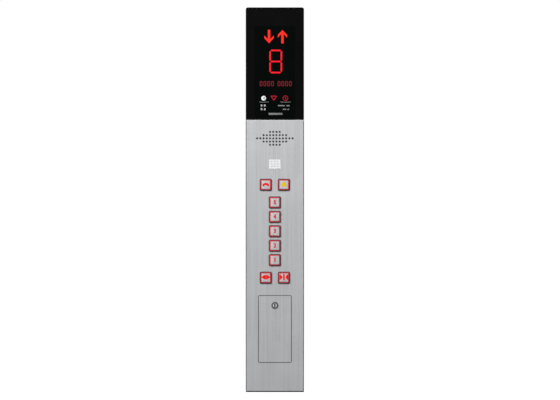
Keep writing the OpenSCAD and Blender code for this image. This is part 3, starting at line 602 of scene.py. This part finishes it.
def halo(name):
    """The light ring, palest beside the cap and deepening outward, with painted shade at its lower right.

    The origin of its piece is at the ring's middle.
    """
    s = Shader(name, (0.2, 0.015, 0.02), 0.34, Emission_Strength=1.0)
    parts = s.axes()
    left, up = s.maths("MULTIPLY", parts["X"], -1), parts["Z"]
    # Shifting the fade this way paints shade on the ring's right and lower sides.
    right = s.maths("ADD", parts["X"], HALO_SHADE_RIGHT * MM)
    below = s.maths("SUBTRACT", HALO_SHADE_DOWN * MM, parts["Z"])
    out = s.maths("MAXIMUM", s.maths("MAXIMUM", left, right), s.maths("MAXIMUM", up, below))
    ramp = s.add("ShaderNodeValToRGB", {0: s.scaled(out, 0, 1, HALO_INNER * MM, HALO_OUTER * MM)})
    elements = ramp.color_ramp.elements
    for position, _ in HALO_STOPS[1:-1]:
        elements.new(position)
    for element, (position, colour) in zip(elements, HALO_STOPS):
        element.position = position
        element.color = (*colour, 1)
    lamps = s.scaled(s.noise(110, 1), 0.82, 1.0)
    links = {0: 1.0, 6: ramp.outputs[0], 7: lamps}
    lit = s.add("ShaderNodeMix", links, data_type="RGBA", blend_type="MULTIPLY").outputs[2]
    s.feed("Emission Color", lit)
    s.bump(s.noise(1200, 2), 0.00003, 0.3)
    return s.material


def diffuser(name):
    """White prismatic plastic in front of the lamp, pressed in square cells, with painted shade in its
    grooves.
    """
    s = Shader(name, (0.56, 0.57, 0.58), 0.3, Emission_Strength=0.12)
    low, high = limits("lamp_lens")
    parts = s.axes()
    groove = None
    for axis, start, size in (("X", low.x, high.x - low.x), ("Z", low.z, high.z - low.z)):
        off = s.maths("SUBTRACT", parts[axis], start * MM)
        along = s.maths("MULTIPLY", off, LENS_CELLS / size / MM)
        line = s.scaled(s.maths("PINGPONG", along, 0.5), 1, 0, 0.05, 0.14, smooth=True)
        groove = s.maths("MAXIMUM", groove, line) if groove else line
    cloud = s.scaled(s.noise(240, 3), 0.92, 1.0)
    # The grooves get less light and a darker colour, as painted shade.
    bright = s.maths("MULTIPLY", s.scaled(groove, 1.0, 0.6, 0, 1), cloud)
    s.feed("Emission Color", s.mix(bright, (0, 0, 0), (1, 1, 1)))
    s.feed("Base Color", s.mix(groove, (0.51, 0.52, 0.53), (0.40, 0.41, 0.42)))
    s.feed("Roughness", s.scaled(s.noise(1000, 2), 0.24, 0.4))
    s.bump(s.scaled(groove, 1, 0, 0, 1), 0.0004, 0.5)
    return s.material


# The materials, and the CAD nodes that take them

STEEL = brushed("brushed_stainless", 0.62)
INNER_STEEL = brushed("brushed_switch_plate", 0.50, 0.36, front=False)
ZINC = zinc("galvanised_sheet")
ZINC_SMALL = zinc("zinc_plated", 0.56)
BLACK_PAINT = paint("dark_painted_sheet", (0.012, 0.012, 0.013))
TRAY_PAINT = paint("dark_painted_tray", (0.05, 0.052, 0.055), 0.5)
SMOKED = smoked("smoked_window")
TRIM = polished("bright_trim", (0.93, 0.94, 0.93), 0.3, 0.3)
BRIGHT = polished("bright_steel", (0.62, 0.63, 0.64), 0.24)
DARK_NICKEL = polished("dark_nickel", (0.14, 0.143, 0.148), 0.3, 0.7)
CHROME = polished("satin_chrome", (0.62, 0.63, 0.64), 0.34, 0.5, 0.0012)
# Near-black that paints shade: in the joint under the window, round the speaker holes and in the keyways.
SHADOW_BLACK = plastic("shadow_black", (0.002, 0.002, 0.002), 0.75, wear=0.0)
SPRING = polished("spring_steel", (0.42, 0.42, 0.43), 0.28)
MAGNET = plastic("magnet_steel", (0.05, 0.05, 0.055), 0.5, 500)
BLACK = plastic("black_plastic", (0.016, 0.016, 0.017), 0.42)
BEZEL = plastic("bezel_plastic", (0.022, 0.020, 0.020), 0.34)
WHITE = plastic("white_plastic", (0.72, 0.72, 0.70), 0.4)
RUBBER = rubber("dark_rubber")
BOARD = circuit("circuit_board")
SCREEN = woven("screen_cloth", (0.007, 0.007, 0.0075))
PAPER = paper("speaker_paper")
CAP = satin("cap_metal")
LENS = diffuser("white_light")
CLEAR_RED = glowing("red_light_pipe", (0.8, 0.02, 0.02), 0.6)
CLEAR_WHITE = glowing("white_light_pipe", (0.9, 0.9, 0.88), 0.3, 0.8)
LIT_ARROW = glowing("lit_arrow", (1.0, 0.026, 0.012), 1.0)
LIT_DIGIT = glowing("lit_digit", (1.0, 0.010, 0.021), 1.0)
DIM_RED = glowing("dim_red", (0.22, 0.012, 0.02), 1.0)
DEEP_RED = glowing("deep_red", (0.5, 0.010, 0.03), 1.0)
LIT_WHITE = glowing("lit_white", (0.92, 0.94, 0.93), 1.0)
LIT_NUMERAL = glowing("lit_numeral", (0.72, 0.012, 0.03), 0.9, 0.1)
LIT_SIGN = glowing("lit_sign", (0.92, 0.0, 0.0), 0.95, 0.05)
LIT_BELL = glowing("lit_bell", (0.80, 0.55, 0.0), 0.9, 0.1)
GREY_INK = ink("grey_ink", (0.14, 0.14, 0.137))
RULE_INK = ink("rule_ink", (0.122, 0.122, 0.12))
# Dark print, also used to paint the shade of the screw recesses.
INK_AND_SHADE = ink("dark_ink_and_shade", (0.02, 0.02, 0.021))
WHITE_INK = ink("white_ink", (0.27, 0.27, 0.265))
ROCKER = plastic("rocker_plastic", (0.60, 0.60, 0.575), 0.36)
HALO = halo("ring_light")

NODE_MATERIALS = {
    STEEL: ["faceplate", "service_door"],
    INNER_STEEL: ["switch_plate"],
    ZINC: ["back_box", "stiffening_rails", "door_stiffener"],
    ZINC_SMALL: ["weld_nuts", "speaker_clips", "speaker_frame", "lock_nut", "lock_keeper", "microphone"],
    TRAY_PAINT: ["service_tray"],
    BLACK_PAINT: ["window_frame"],
    SMOKED: ["display_window"],
    TRIM: ["trim_strip"],
    BRIGHT: ["front_screws", "pivot_pins", "button_clamps"],
    DARK_NICKEL: ["lock_barrel", "key_switch_body"],
    CHROME: ["lock_plug", "key_switch_plug"],
    SPRING: ["button_springs"],
    MAGNET: ["speaker_magnet"],
    BLACK: [
        "display_housing", "digit_module", "arrow_module", "load_module", "status_module",
        "button_covers", "rocker_frames",
    ],
    BEZEL: ["floor_bezels", "function_bezels"],
    WHITE: ["lamp_housing"],
    RUBBER: ["cable_bushing", "speaker_gasket"],
    BOARD: ["display_board", "lamp_board", "button_boards", "control_board"],
    SCREEN: ["dust_screen"],
    PAPER: ["speaker_cone"],
    CAP: ["cap_" + name for name, _ in BUTTONS],
    LENS: ["lamp_lens"],
    CLEAR_RED: ["digit_bars", "arrow_lights", "load_bars"],
    CLEAR_WHITE: ["status_lights"],
    ROCKER: ["rocker_fan", "rocker_light"],
    HALO: ["light_rings"],
}


def dress_nodes():
    """Gives each CAD node its material."""
    for material, names in NODE_MATERIALS.items():
        for name in names:
            slots = nodes[name].data.materials
            slots.clear()
            slots.append(material)


# The display's lit signs and prints, as thin inlays on the window

SIGN_T = 0.12
SIGN_BEVEL = 0.04
GLARE = 1.3
DIGIT_BAR_W = 7.8
ARROW_X = 21.9
DIGIT_LOW, DIGIT_HIGH = limits("digit_bars")
DIGIT_Z = middle("digit_bars").z
ART_X = middle("digit_bars").x
ARROW_Z = middle("arrow_lights").z
LOAD_Z = middle("load_bars").z
STATUS_Z = middle("status_lights").z
READY_X = -36.6
READY_R = 7.6
ATTENTION_X = -3.4
ATTENTION_STROKE = 2.3
WAIT_X = 34.6
WAIT_R = 8.6
WAIT_STROKE = 1.6

# Each line or bar is a width and the place of its middle.
CAPTION_Z = 318.6
CAPTION_H = 1.6
CAPTIONS = [(31, -35.4), (33, 34.4)]
SQUARE_W = 5.8
SQUARE_H = 6.2
SQUARE_X = (-43.3, -32.9)
SQUARE_Z = (307.4, 295.4)
UPPER_Z = 306.8
UPPER_H = 3.7
UPPER_BARS = [(22, 21.4), (11, 43.0)]
LOWER_Z = 294.8
LOWER_H = 3.5
LOWER_BARS = [(11, 31.8), (6, 44.0)]
PRINT_R = 1.0
RULE_W = 45
RULE_H = 6.2
RULE_Z = 280.0
BEAD_H = 3.0
BEAD_R = 0.4
BEAD_DROP = 1.2
BEAD_PROUD = 0.38
BEAD_SINK = 0.1
BEAD_BEVEL = 0.1


def sign(name, outlines, material):
    """A lit or printed shape on the front of the window."""
    plate(name, outlines, WINDOW_FRONT - SIGN_T, WINDOW_FRONT + SINK, material, SIGN_BEVEL)


def arrow_outline():
    """An upward arrow with swept barbs, anticlockwise, drawn inside the real one as light spreads."""
    half = 16.5
    tip = 23.5
    shaft = 5.3
    notch = 5.0
    shoulder = 6.0
    barb = -7.0
    points = [
        (0, tip), (-half, shoulder), (-half, barb), (-shaft, notch), (-shaft, -tip),
        (shaft, -tip), (shaft, notch), (half, barb), (half, shoulder),
    ]
    return soften(inset(points, GLARE), 1.0)


def digit_bar(length, width):
    """A lying bar with pointed ends."""
    half, c = length / 2, width / 2
    points = [(-half, 0), (-half + c, -c), (half - c, -c), (half, 0), (half - c, c), (-half + c, c)]
    return soften(points, 1.2)


def digit_outlines():
    """The seven bars of the digit 8, drawn inside the real ones because light spreads."""
    half_w = (DIGIT_HIGH.x - DIGIT_LOW.x - DIGIT_BAR_W) / 2
    half_h = (DIGIT_HIGH.z - DIGIT_LOW.z - DIGIT_BAR_W) / 2
    width = DIGIT_BAR_W - 2 * GLARE
    level = digit_bar(2 * half_w - 2 * GLARE, width)
    upright = digit_bar(half_h - 2 * GLARE, width)
    bars = [moved(level, ART_X, DIGIT_Z + z) for z in (-half_h, 0, half_h)]
    for x in (-half_w, half_w):
        for z in (-half_h / 2, half_h / 2):
            bars.append(moved(upright, ART_X + x, DIGIT_Z + z, 90))
    return bars


def load_outlines():
    """Two groups of four open cells that stand for how full the car is."""
    groups, count = 2, 4
    width, height, gap, stroke, space = 108.0, 16.6, 9.0, 2.1, 3.6
    pitch = (width - gap) / (groups * count)
    cell_w = pitch - space
    outlines = []
    for i in range(groups * count):
        x = ART_X - width / 2 + (i + 0.5) * pitch + (gap if i >= count else 0)
        outlines.append(rounded(cell_w, height, 3.2, x, LOAD_Z))
        outlines.append(rounded(cell_w - 2 * stroke, height - 2 * stroke, 1.2, x, LOAD_Z))
    return outlines


def build_display():
    """The arrows, the floor's digit and the load cells."""
    sign("sign_arrow_up", [moved(arrow_outline(), ART_X + ARROW_X, ARROW_Z)], LIT_ARROW)
    sign("sign_arrow_down", [moved(arrow_outline(), ART_X - ARROW_X, ARROW_Z, 180)], LIT_ARROW)
    sign("sign_digit", digit_outlines(), LIT_DIGIT)
    sign("sign_load", load_outlines(), DIM_RED)


def build_status():
    """Three round status lights: a disc with a notch, a triangle, and a ring with two hands."""
    notch = soften([(-3.4, 0), (3.2, 4.8), (4.4, 3.4), (0, 0), (4.4, -3.4), (3.2, -4.8)], 0.5)
    ready = [circle(READY_X, STATUS_Z, READY_R), moved(notch, READY_X + 1, STATUS_Z)]
    sign("sign_ready", ready, LIT_WHITE)
    down = [(0, -11.6), (13.8, 8.8), (-13.8, 8.8)]
    triangle = [
        soften(inset(down, GLARE), 4.2, 8),
        soften(inset(down, GLARE + ATTENTION_STROKE), 1.6, 6),
    ]
    sign("sign_attention", [moved(o, ATTENTION_X, STATUS_Z + 0.4) for o in triangle], DEEP_RED)
    hands = soften([(-1.0, 4.6), (1.0, 4.6), (1.0, -0.4), (3.8, -3.0), (2.6, -4.4), (-1.0, -1.2)], 0.4)
    ring = [circle(WAIT_X, STATUS_Z, r) for r in (WAIT_R, WAIT_R - WAIT_STROKE)]
    sign("sign_wait", ring + [moved(hands, WAIT_X, STATUS_Z)], DEEP_RED)


def build_prints():
    """Plain lines, squares and bars where the panel has small printing."""
    lines = [rounded(w, CAPTION_H, 0.6, x, CAPTION_Z) for w, x in CAPTIONS]
    sign("print_lines", lines, GREY_INK)
    squares = [rounded(SQUARE_W, SQUARE_H, 1.2, x, z) for x in SQUARE_X for z in SQUARE_Z]
    sign("print_squares", squares, WHITE_INK)
    bars = [rounded(w, UPPER_H, PRINT_R, x, UPPER_Z) for w, x in UPPER_BARS]
    bars += [rounded(w, LOWER_H, PRINT_R, x, LOWER_Z) for w, x in LOWER_BARS]
    sign("print_bars", bars, GREY_INK)


def build_bead():
    """The bead in the joint under the window: a real seal, made near-black to paint the joint's shadow
    line.
    """
    low, high = limits("display_window")
    outline = rounded(2 * (high.x - BEAD_R), BEAD_H, BEAD_R, 0, low.z - BEAD_DROP)
    front, back = WINDOW_FRONT - BEAD_PROUD, WINDOW_FRONT + BEAD_SINK
    plate("window_bead", [outline], front, back, SHADOW_BLACK, BEAD_BEVEL)


def build_rule():
    """A plain grey bar near the window's foot."""
    outline = rounded(RULE_W, RULE_H, 1.6, ART_X - 0.8, RULE_Z)
    sign("print_rule", [outline], RULE_INK)


# Speaker holes

HOLE_ROWS = (4, 8, 12, 8, 4)
HOLE_PITCH = 10.5
HOLE_R = 2.5
HOLE_SHADE_R = 3.3
HOLE_STEPS = 28
RIM_T = 0.03


def build_grille():
    """A black ring of painted shade round each speaker hole."""
    centre = middle("dust_screen")
    outlines = []
    for row, count in enumerate(HOLE_ROWS):
        z = centre.z + (len(HOLE_ROWS) // 2 - row) * HOLE_PITCH
        for k in range(count):
            x = centre.x + (k - (count - 1) / 2) * HOLE_PITCH
            outlines += [circle(x, z, HOLE_SHADE_R, HOLE_STEPS), circle(x, z, HOLE_R, HOLE_STEPS)]
    plate("shade_rims_speaker", outlines, PLATE_FRONT - RIM_T, PLATE_FRONT + SINK, SHADOW_BLACK)


# Buttons

FACE_W = 24.4
FACE_R = 1.7
FACE_FRONT = CAP_FRONT + 0.22
FACE_BACK = CAP_FRONT + 0.54
SIGN_FRONT = CAP_FRONT + 0.1
WIDE_SIGN_FRONT = CAP_FRONT - 0.02
SIGN_BACK = FACE_FRONT + SINK
FACE_BEVEL = 0.08
FACE_SIGN_BEVEL = 0.03
GLYPH_SIZE = 10
NUMERAL_H = 15.0
NUMERAL_NARROW = 0.86
NUMERAL_BOLD = 0.56
ONE_BOLD = 0.95
SPRING_R = 5.1
WIRE_R = 0.4
SPRING_TURNS = 5.5
END_TURNS = 0.9
TURN_STEPS = 20
WIRE_STEPS = 8


def handset():
    """An arched handset with its two cups."""
    half = [
        (0, 5.6), (3.8, 5.2), (7.6, 3.7), (10.4, 0.8), (11.1, -2.8), (10.2, -5.4), (5.2, -5.4),
        (4.0, -4.0), (3.2, -2.2), (1.6, -1.5),
    ]
    points = half + [(0, -1.3)] + [(-x, z) for x, z in half[:0:-1]]
    return [soften(points, 1.4)]


def bell():
    """A bell with its clapper below."""
    side = [(1.5, 8.6), (1.8, 7.4), (5.0, 5.6), (6.2, 2.6), (6.7, -1.6), (8.3, -4.2), (8.3, -6.0)]
    points = [(-x, z) for x, z in side] + side[::-1]
    return [soften(points, 1.2), arc(0, -6.6, 2.5, 180, 360, 8)]


def door_mark(upper, bar_w, bar_h):
    """A bar between two triangles. The upper half of the right one is given, and it is mirrored."""
    below = [(x, -z) for x, z in upper[::-1] if z]
    right = soften(upper + below, 0.8)
    left = [(-x, z) for x, z in right]
    return [right, left, rounded(bar_w, bar_h, 0.8)]


SIGNS = {
    "handset": handset(),
    "bell": bell(),
    "outward": door_mark([(1.7, 8.0), (4.2, 7.4), (13.5, 1.1)], 2.4, 16.0),
    "inward": door_mark([(13.5, 9.2), (11.6, 9.0), (4.2, 0)], 5.4, 20.0),
}
SIGN_RISE = {"handset": 0.8, "bell": 1.0, "outward": 2.0, "inward": 2.2}
NUMERAL_RISE = 1.1


def numeral(name, figure, x, z, body):
    """A plain, slightly narrow number with its middle at a place on a cap."""
    curve = bpy.data.curves.new(name, "FONT")
    curve.body = figure
    curve.size = GLYPH_SIZE
    bold = ONE_BOLD if figure == "1" else NUMERAL_BOLD
    mesh = curve_mesh(curve, SIGN_FRONT, SIGN_BACK, FACE_SIGN_BEVEL, bold)
    xs, zs = [v.co.x for v in mesh.vertices], [v.co.z for v in mesh.vertices]
    scale = NUMERAL_H / (max(zs) - min(zs))
    shift = Vector((-(max(xs) + min(xs)) / 2, 0, -(max(zs) + min(zs)) / 2))
    size = Matrix.Diagonal((scale * NUMERAL_NARROW, 1, scale, 1))
    mesh.transform(Matrix.Translation((x, 0, z)) @ size @ Matrix.Translation(shift))
    finish_mesh(mesh, name, LIT_NUMERAL, body)


def build_face(name, sign_name, x, z):
    """A thin metal face on the cap, with its lit sign."""
    body = "button_" + name
    outline = rounded(FACE_W, FACE_W, FACE_R, x, z)
    plate("face_" + name, [outline], FACE_FRONT, FACE_BACK, CAP, FACE_BEVEL, body)
    if sign_name in SIGNS:
        material = LIT_BELL if sign_name == "bell" else LIT_SIGN
        outlines = [moved(o, x, z + SIGN_RISE[sign_name]) for o in SIGNS[sign_name]]
        front = WIDE_SIGN_FRONT if sign_name in ("outward", "inward") else SIGN_FRONT
        plate("sign_" + name, outlines, front, SIGN_BACK, material, FACE_SIGN_BEVEL, body)
    else:
        numeral("sign_" + name, sign_name, x, z + NUMERAL_RISE, body)


def build_ring(name, x, z):
    """The translucent ring round a cap, softly domed."""
    width_radius_depth = [
        (28.2, 2.5, RING_BACK), (28.2, 2.5, RING_FRONT + 0.35), (28.9, 2.7, RING_FRONT + 0.08),
        (30.4, 3.0, RING_FRONT), (32.2, 3.1, RING_FRONT), (33.7, 3.2, RING_FRONT + 0.1),
        (34.4, 3.3, RING_FRONT + 0.4), (34.4, 3.3, RING_BACK),
    ]
    loops = [[(px, y, pz) for px, pz in rounded(w, w, r, x, z)] for w, r, y in width_radius_depth]
    ring = loft("ring_" + name, loops, HALO, closed=True, centre=(x, RING_BACK, z))
    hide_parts("light_rings")


def spring_rise(turn, length):
    """How far along a spring its wire is after some turns. The end turns lie against each other."""
    closed = END_TURNS * 2 * WIRE_R
    share = min(1.0, max(0.0, (turn - END_TURNS) / (SPRING_TURNS - 2 * END_TURNS)))
    rise = min(turn, END_TURNS) * 2 * WIRE_R
    rise += share * (length - 2 * closed)
    return rise + max(0.0, turn - (SPRING_TURNS - END_TURNS)) * 2 * WIRE_R


def build_spring(name, x, z):
    """A compression spring with closed end turns. In the real button it shortens as the button is pressed.
    """
    low, high = limits("button_springs")
    front, back = low.y + WIRE_R, high.y - WIRE_R
    loops = []
    for i in range(int(SPRING_TURNS * TURN_STEPS) + 1):
        turn = i / TURN_STEPS
        y = front + spring_rise(turn, back - front)
        a = 2 * math.pi * turn
        loop = []
        for k in range(WIRE_STEPS):
            b = 2 * math.pi * k / WIRE_STEPS
            r = SPRING_R + WIRE_R * math.cos(b)
            loop.append((x + r * math.cos(a), y + WIRE_R * math.sin(b), z + r * math.sin(a)))
        loops.append(loop)
    spring = loft("spring_" + name, loops, SPRING)
    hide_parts("button_springs")
    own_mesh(spring)


def build_buttons():
    """Face, ring and spring of every button."""
    for name, sign_name in BUTTONS:
        centre = middle("cap_" + name)
        build_face(name, sign_name, centre.x, centre.z)
        build_ring(name, centre.x, centre.z)
        build_spring(name, centre.x, centre.z)


# The lock and the service compartment

LOCK_SLOT = (3.0, 10.4)
SWITCH_SLOT = (2.0, 7.0)
SHUTTER_DEPTH = 0.5
SHUTTER_T = 1.0
SHUTTER_GAP = 0.1
RIM_PROUD = 0.05
MARK_PROUD = 0.06
ICON_PROUD = 0.08
CROSS_PROUD = 0.16
ROCKER_REACH = 0.27
ICON_RISE = 7.5
KEY_MARK_REACH = 15.5
SCREW_INSET = 6
SCREW_TURN = 17


def keyway(name, node, body, slot, x, z):
    """A black shutter inside a plug's slot and a black rim round the slot, both painted shade."""
    w, h = slot
    front = limits(node)[0].y + SHUTTER_DEPTH
    shutter = rounded(w - 2 * SHUTTER_GAP, h - 2 * SHUTTER_GAP, 0.5, x, z)
    plate("shutter_" + name, [shutter], front, front + SHUTTER_T, SHADOW_BLACK, 0.1, body)
    rim = [rounded(w + 1.3, h + 0.9, 1.0, x, z), rounded(w, h, 0.3, x, z)]
    inlay("rim_" + name, node, rim, RIM_PROUD, SHADOW_BLACK, body)


def rocker_marks(name):
    """I on the upper half and O on the lower."""
    low, high = limits(name)
    centre = middle(name)
    reach = (high.z - low.z) * ROCKER_REACH
    upright = rounded(1.3, 5.6, 0.5, centre.x, centre.z + reach)
    ring = [circle(centre.x, centre.z - reach, r) for r in (2.9, 1.8)]
    inlay("on_" + name, name, [upright], MARK_PROUD, INK_AND_SHADE, name)
    inlay("off_" + name, name, ring, MARK_PROUD, INK_AND_SHADE, name)


def fan_icon(x, z):
    """Three blades round a hub."""
    blade = soften([(0.7, 1.2), (2.3, 4.4), (-0.4, 5.3), (-2.6, 4.0), (-0.6, 1.4)], 1.0)
    return [circle(x, z, 0.8)] + [moved(blade, x, z, 120 * i) for i in range(3)]


def lamp_icon(x, z):
    """A ring with eight rays."""
    rays = [moved(rounded(1.9, 0.8, 0.35, 4.6, 0), x, z, 45 * i) for i in range(8)]
    return [circle(x, z, 2.5), circle(x, z, 1.7)] + rays


def screw_recesses():
    """A dark cross of painted shade in each of the switch plate's pan heads, where its recess would be,
    each turned a little further.
    """
    low, high = limits("switch_plate")
    long, thin = 1.9, 0.45
    arm = [(thin, thin), (thin, long), (-thin, long)]
    cross = [p for i in range(4) for p in moved(arm, 0, 0, 90 * i)]
    xs = (low.x + SCREW_INSET, high.x - SCREW_INSET)
    zs = (low.z + SCREW_INSET, high.z - SCREW_INSET)
    places = [(x, z) for x in xs for z in zs]
    outlines = [moved(cross, x, z, SCREW_TURN * i) for i, (x, z) in enumerate(places)]
    inlay("recesses_switch_plate", "switch_plate", outlines, CROSS_PROUD, INK_AND_SHADE)


def key_marks(x, z):
    """O above the key switch, and I at its left where the key's top turns to."""
    ring = [circle(x, z + KEY_MARK_REACH, r) for r in (2.2, 1.4)]
    upright = rounded(0.9, 4.4, 0.4, x - KEY_MARK_REACH, z)
    inlay("marks_key_switch", "switch_plate", ring + [upright], ICON_PROUD, INK_AND_SHADE)


def build_compartment():
    """The marks and slots of the lock, the key switch and the rockers."""
    lock, switch = middle("lock_barrel"), middle("key_switch_plug")
    screw_recesses()
    key_marks(switch.x, switch.z)
    keyway("lock", "lock_plug", "lock_plug", LOCK_SLOT, lock.x, lock.z)
    keyway("switch", "key_switch_plug", "key_plug", SWITCH_SLOT, switch.x, switch.z)
    for name, icon in (("rocker_fan", fan_icon), ("rocker_light", lamp_icon)):
        rocker_marks(name)
        place = (middle(name).x, limits(name)[1].z + ICON_RISE)
        inlay("icon_" + name, "switch_plate", icon(*place), ICON_PROUD, INK_AND_SHADE)


# Stage, light and camera

# The picture's width in pixels, the millimetres to a pixel at the caps, and the column on which
# the panel's middle stands.
FRAME_W = 560
PIXEL = 3.260
PANEL_PX = 274.86
LENS_LENGTH = 135.0
SENSOR = 36.0
CAMERA_Z = -0.8
CLIP_END = 100
FLOOR_HALF = 9.0
FLOOR_GAP = 0.08

# Each light is a name, a place, a size and its watts.
LIGHTS = [
    ("key", (-2.2, -2.4, 2.4), 0.7, 260),
    ("fill", (2.2, -2.0, 2.0), 1.2, 24),
    ("back", (-1.2, 2.8, 0.5), 3.0, 18),
    ("side", (2.8, 2.2, 0.3), 2.8, 28),
]


def build_floor():
    """A pale floor that glows just enough to stay white. A brighter one would eat the panel's outline."""
    s = Shader("pale_floor", (0.02, 0.02, 0.02), 0.9, Emission_Strength=1.0)
    s.feed("Emission Color", s.blend(s.noise(3, 3), (0.95, 0.95, 0.95), (0.985, 0.985, 0.985)))
    z = cad_box[0].z - FLOOR_GAP
    corners = [(x * FLOOR_HALF, y * FLOOR_HALF, z) for x, y in ((-1, -1), (1, -1), (1, 1), (-1, 1))]
    mesh = bpy.data.meshes.new("floor")
    mesh.from_pydata(corners, [], [(0, 1, 2, 3)])
    mesh.materials.append(s.material)
    floor = bpy.data.objects.new("floor", mesh)
    scene.collection.objects.link(floor)
    floor.visible_glossy = False
    floor.visible_diffuse = False


def soft_light(name, place, size, power):
    """A square light aimed at the panel's middle."""
    light = bpy.data.lights.new(name, "AREA")
    light.shape = "SQUARE"
    light.size = size
    light.energy = power
    holder = bpy.data.objects.new(name, light)
    holder.location = place
    holder.rotation_euler = (-Vector(place)).to_track_quat("-Z", "Y").to_euler()
    holder.visible_camera = False
    scene.collection.objects.link(holder)


def build_world():
    """White to the camera. What the panel mirrors is a softer room, dim straight ahead and below."""
    world = bpy.data.worlds.new("studio")
    world.use_nodes = True
    scene.world = world
    world.node_tree.nodes.clear()
    n = Nodes(world.node_tree)
    way = n.add("ShaderNodeTexCoord").outputs["Generated"]
    x, y, z = n.add("ShaderNodeSeparateXYZ", {0: way}).outputs
    beside = n.scaled(n.maths("ABSOLUTE", x), 0.012, 1.0, 0.06, 0.30, smooth=True)
    ahead = n.scaled(y, 1.0, 0.10, -0.86, -0.50, smooth=True)
    above = n.scaled(z, 0.06, 1.9, -0.45, 0.45, smooth=True)
    front = n.maths("MULTIPLY", n.maths("MULTIPLY", beside, ahead), above)
    behind = n.scaled(y, 0.0, 0.8, 0.6, 0.95, smooth=True)
    rear = n.maths("MULTIPLY", behind, n.scaled(z, 0.5, 1.0, -0.7, 0.7, smooth=True))
    strength = n.maths("ADD", front, rear)
    room = n.add("ShaderNodeBackground", {0: (0.97, 0.985, 1.0, 1), 1: strength}).outputs[0]
    white = n.add("ShaderNodeBackground", {0: (1, 1, 1, 1), 1: 1.0}).outputs[0]
    seen = n.add("ShaderNodeLightPath").outputs["Is Camera Ray"]
    both = n.add("ShaderNodeMixShader", {0: seen, 1: room, 2: white}).outputs[0]
    n.add("ShaderNodeOutputWorld", {"Surface": both})


def build_camera():
    """A long lens, level with the panel, which stands a little left of the picture's middle."""
    data = bpy.data.cameras.new("camera")
    data.lens, data.sensor_width = LENS_LENGTH, SENSOR
    data.clip_end = CLIP_END
    camera = bpy.data.objects.new("camera", data)
    distance = FRAME_W * PIXEL / SENSOR * LENS_LENGTH
    x = (FRAME_W / 2 - PANEL_PX) * PIXEL
    camera.location = (x * MM, cad_box[0].y - distance * MM, CAMERA_Z * MM)
    camera.rotation_euler = (math.pi / 2, 0, 0)
    scene.collection.objects.link(camera)
    scene.camera = camera


dress_nodes()
build_display()
build_status()
build_prints()
build_bead()
build_rule()
build_grille()
build_buttons()
build_compartment()
build_floor()
for light in LIGHTS:
    soft_light(*light)
build_world()
build_camera()
scene.view_settings.view_transform = "Standard"
scene.view_settings.look = "None"
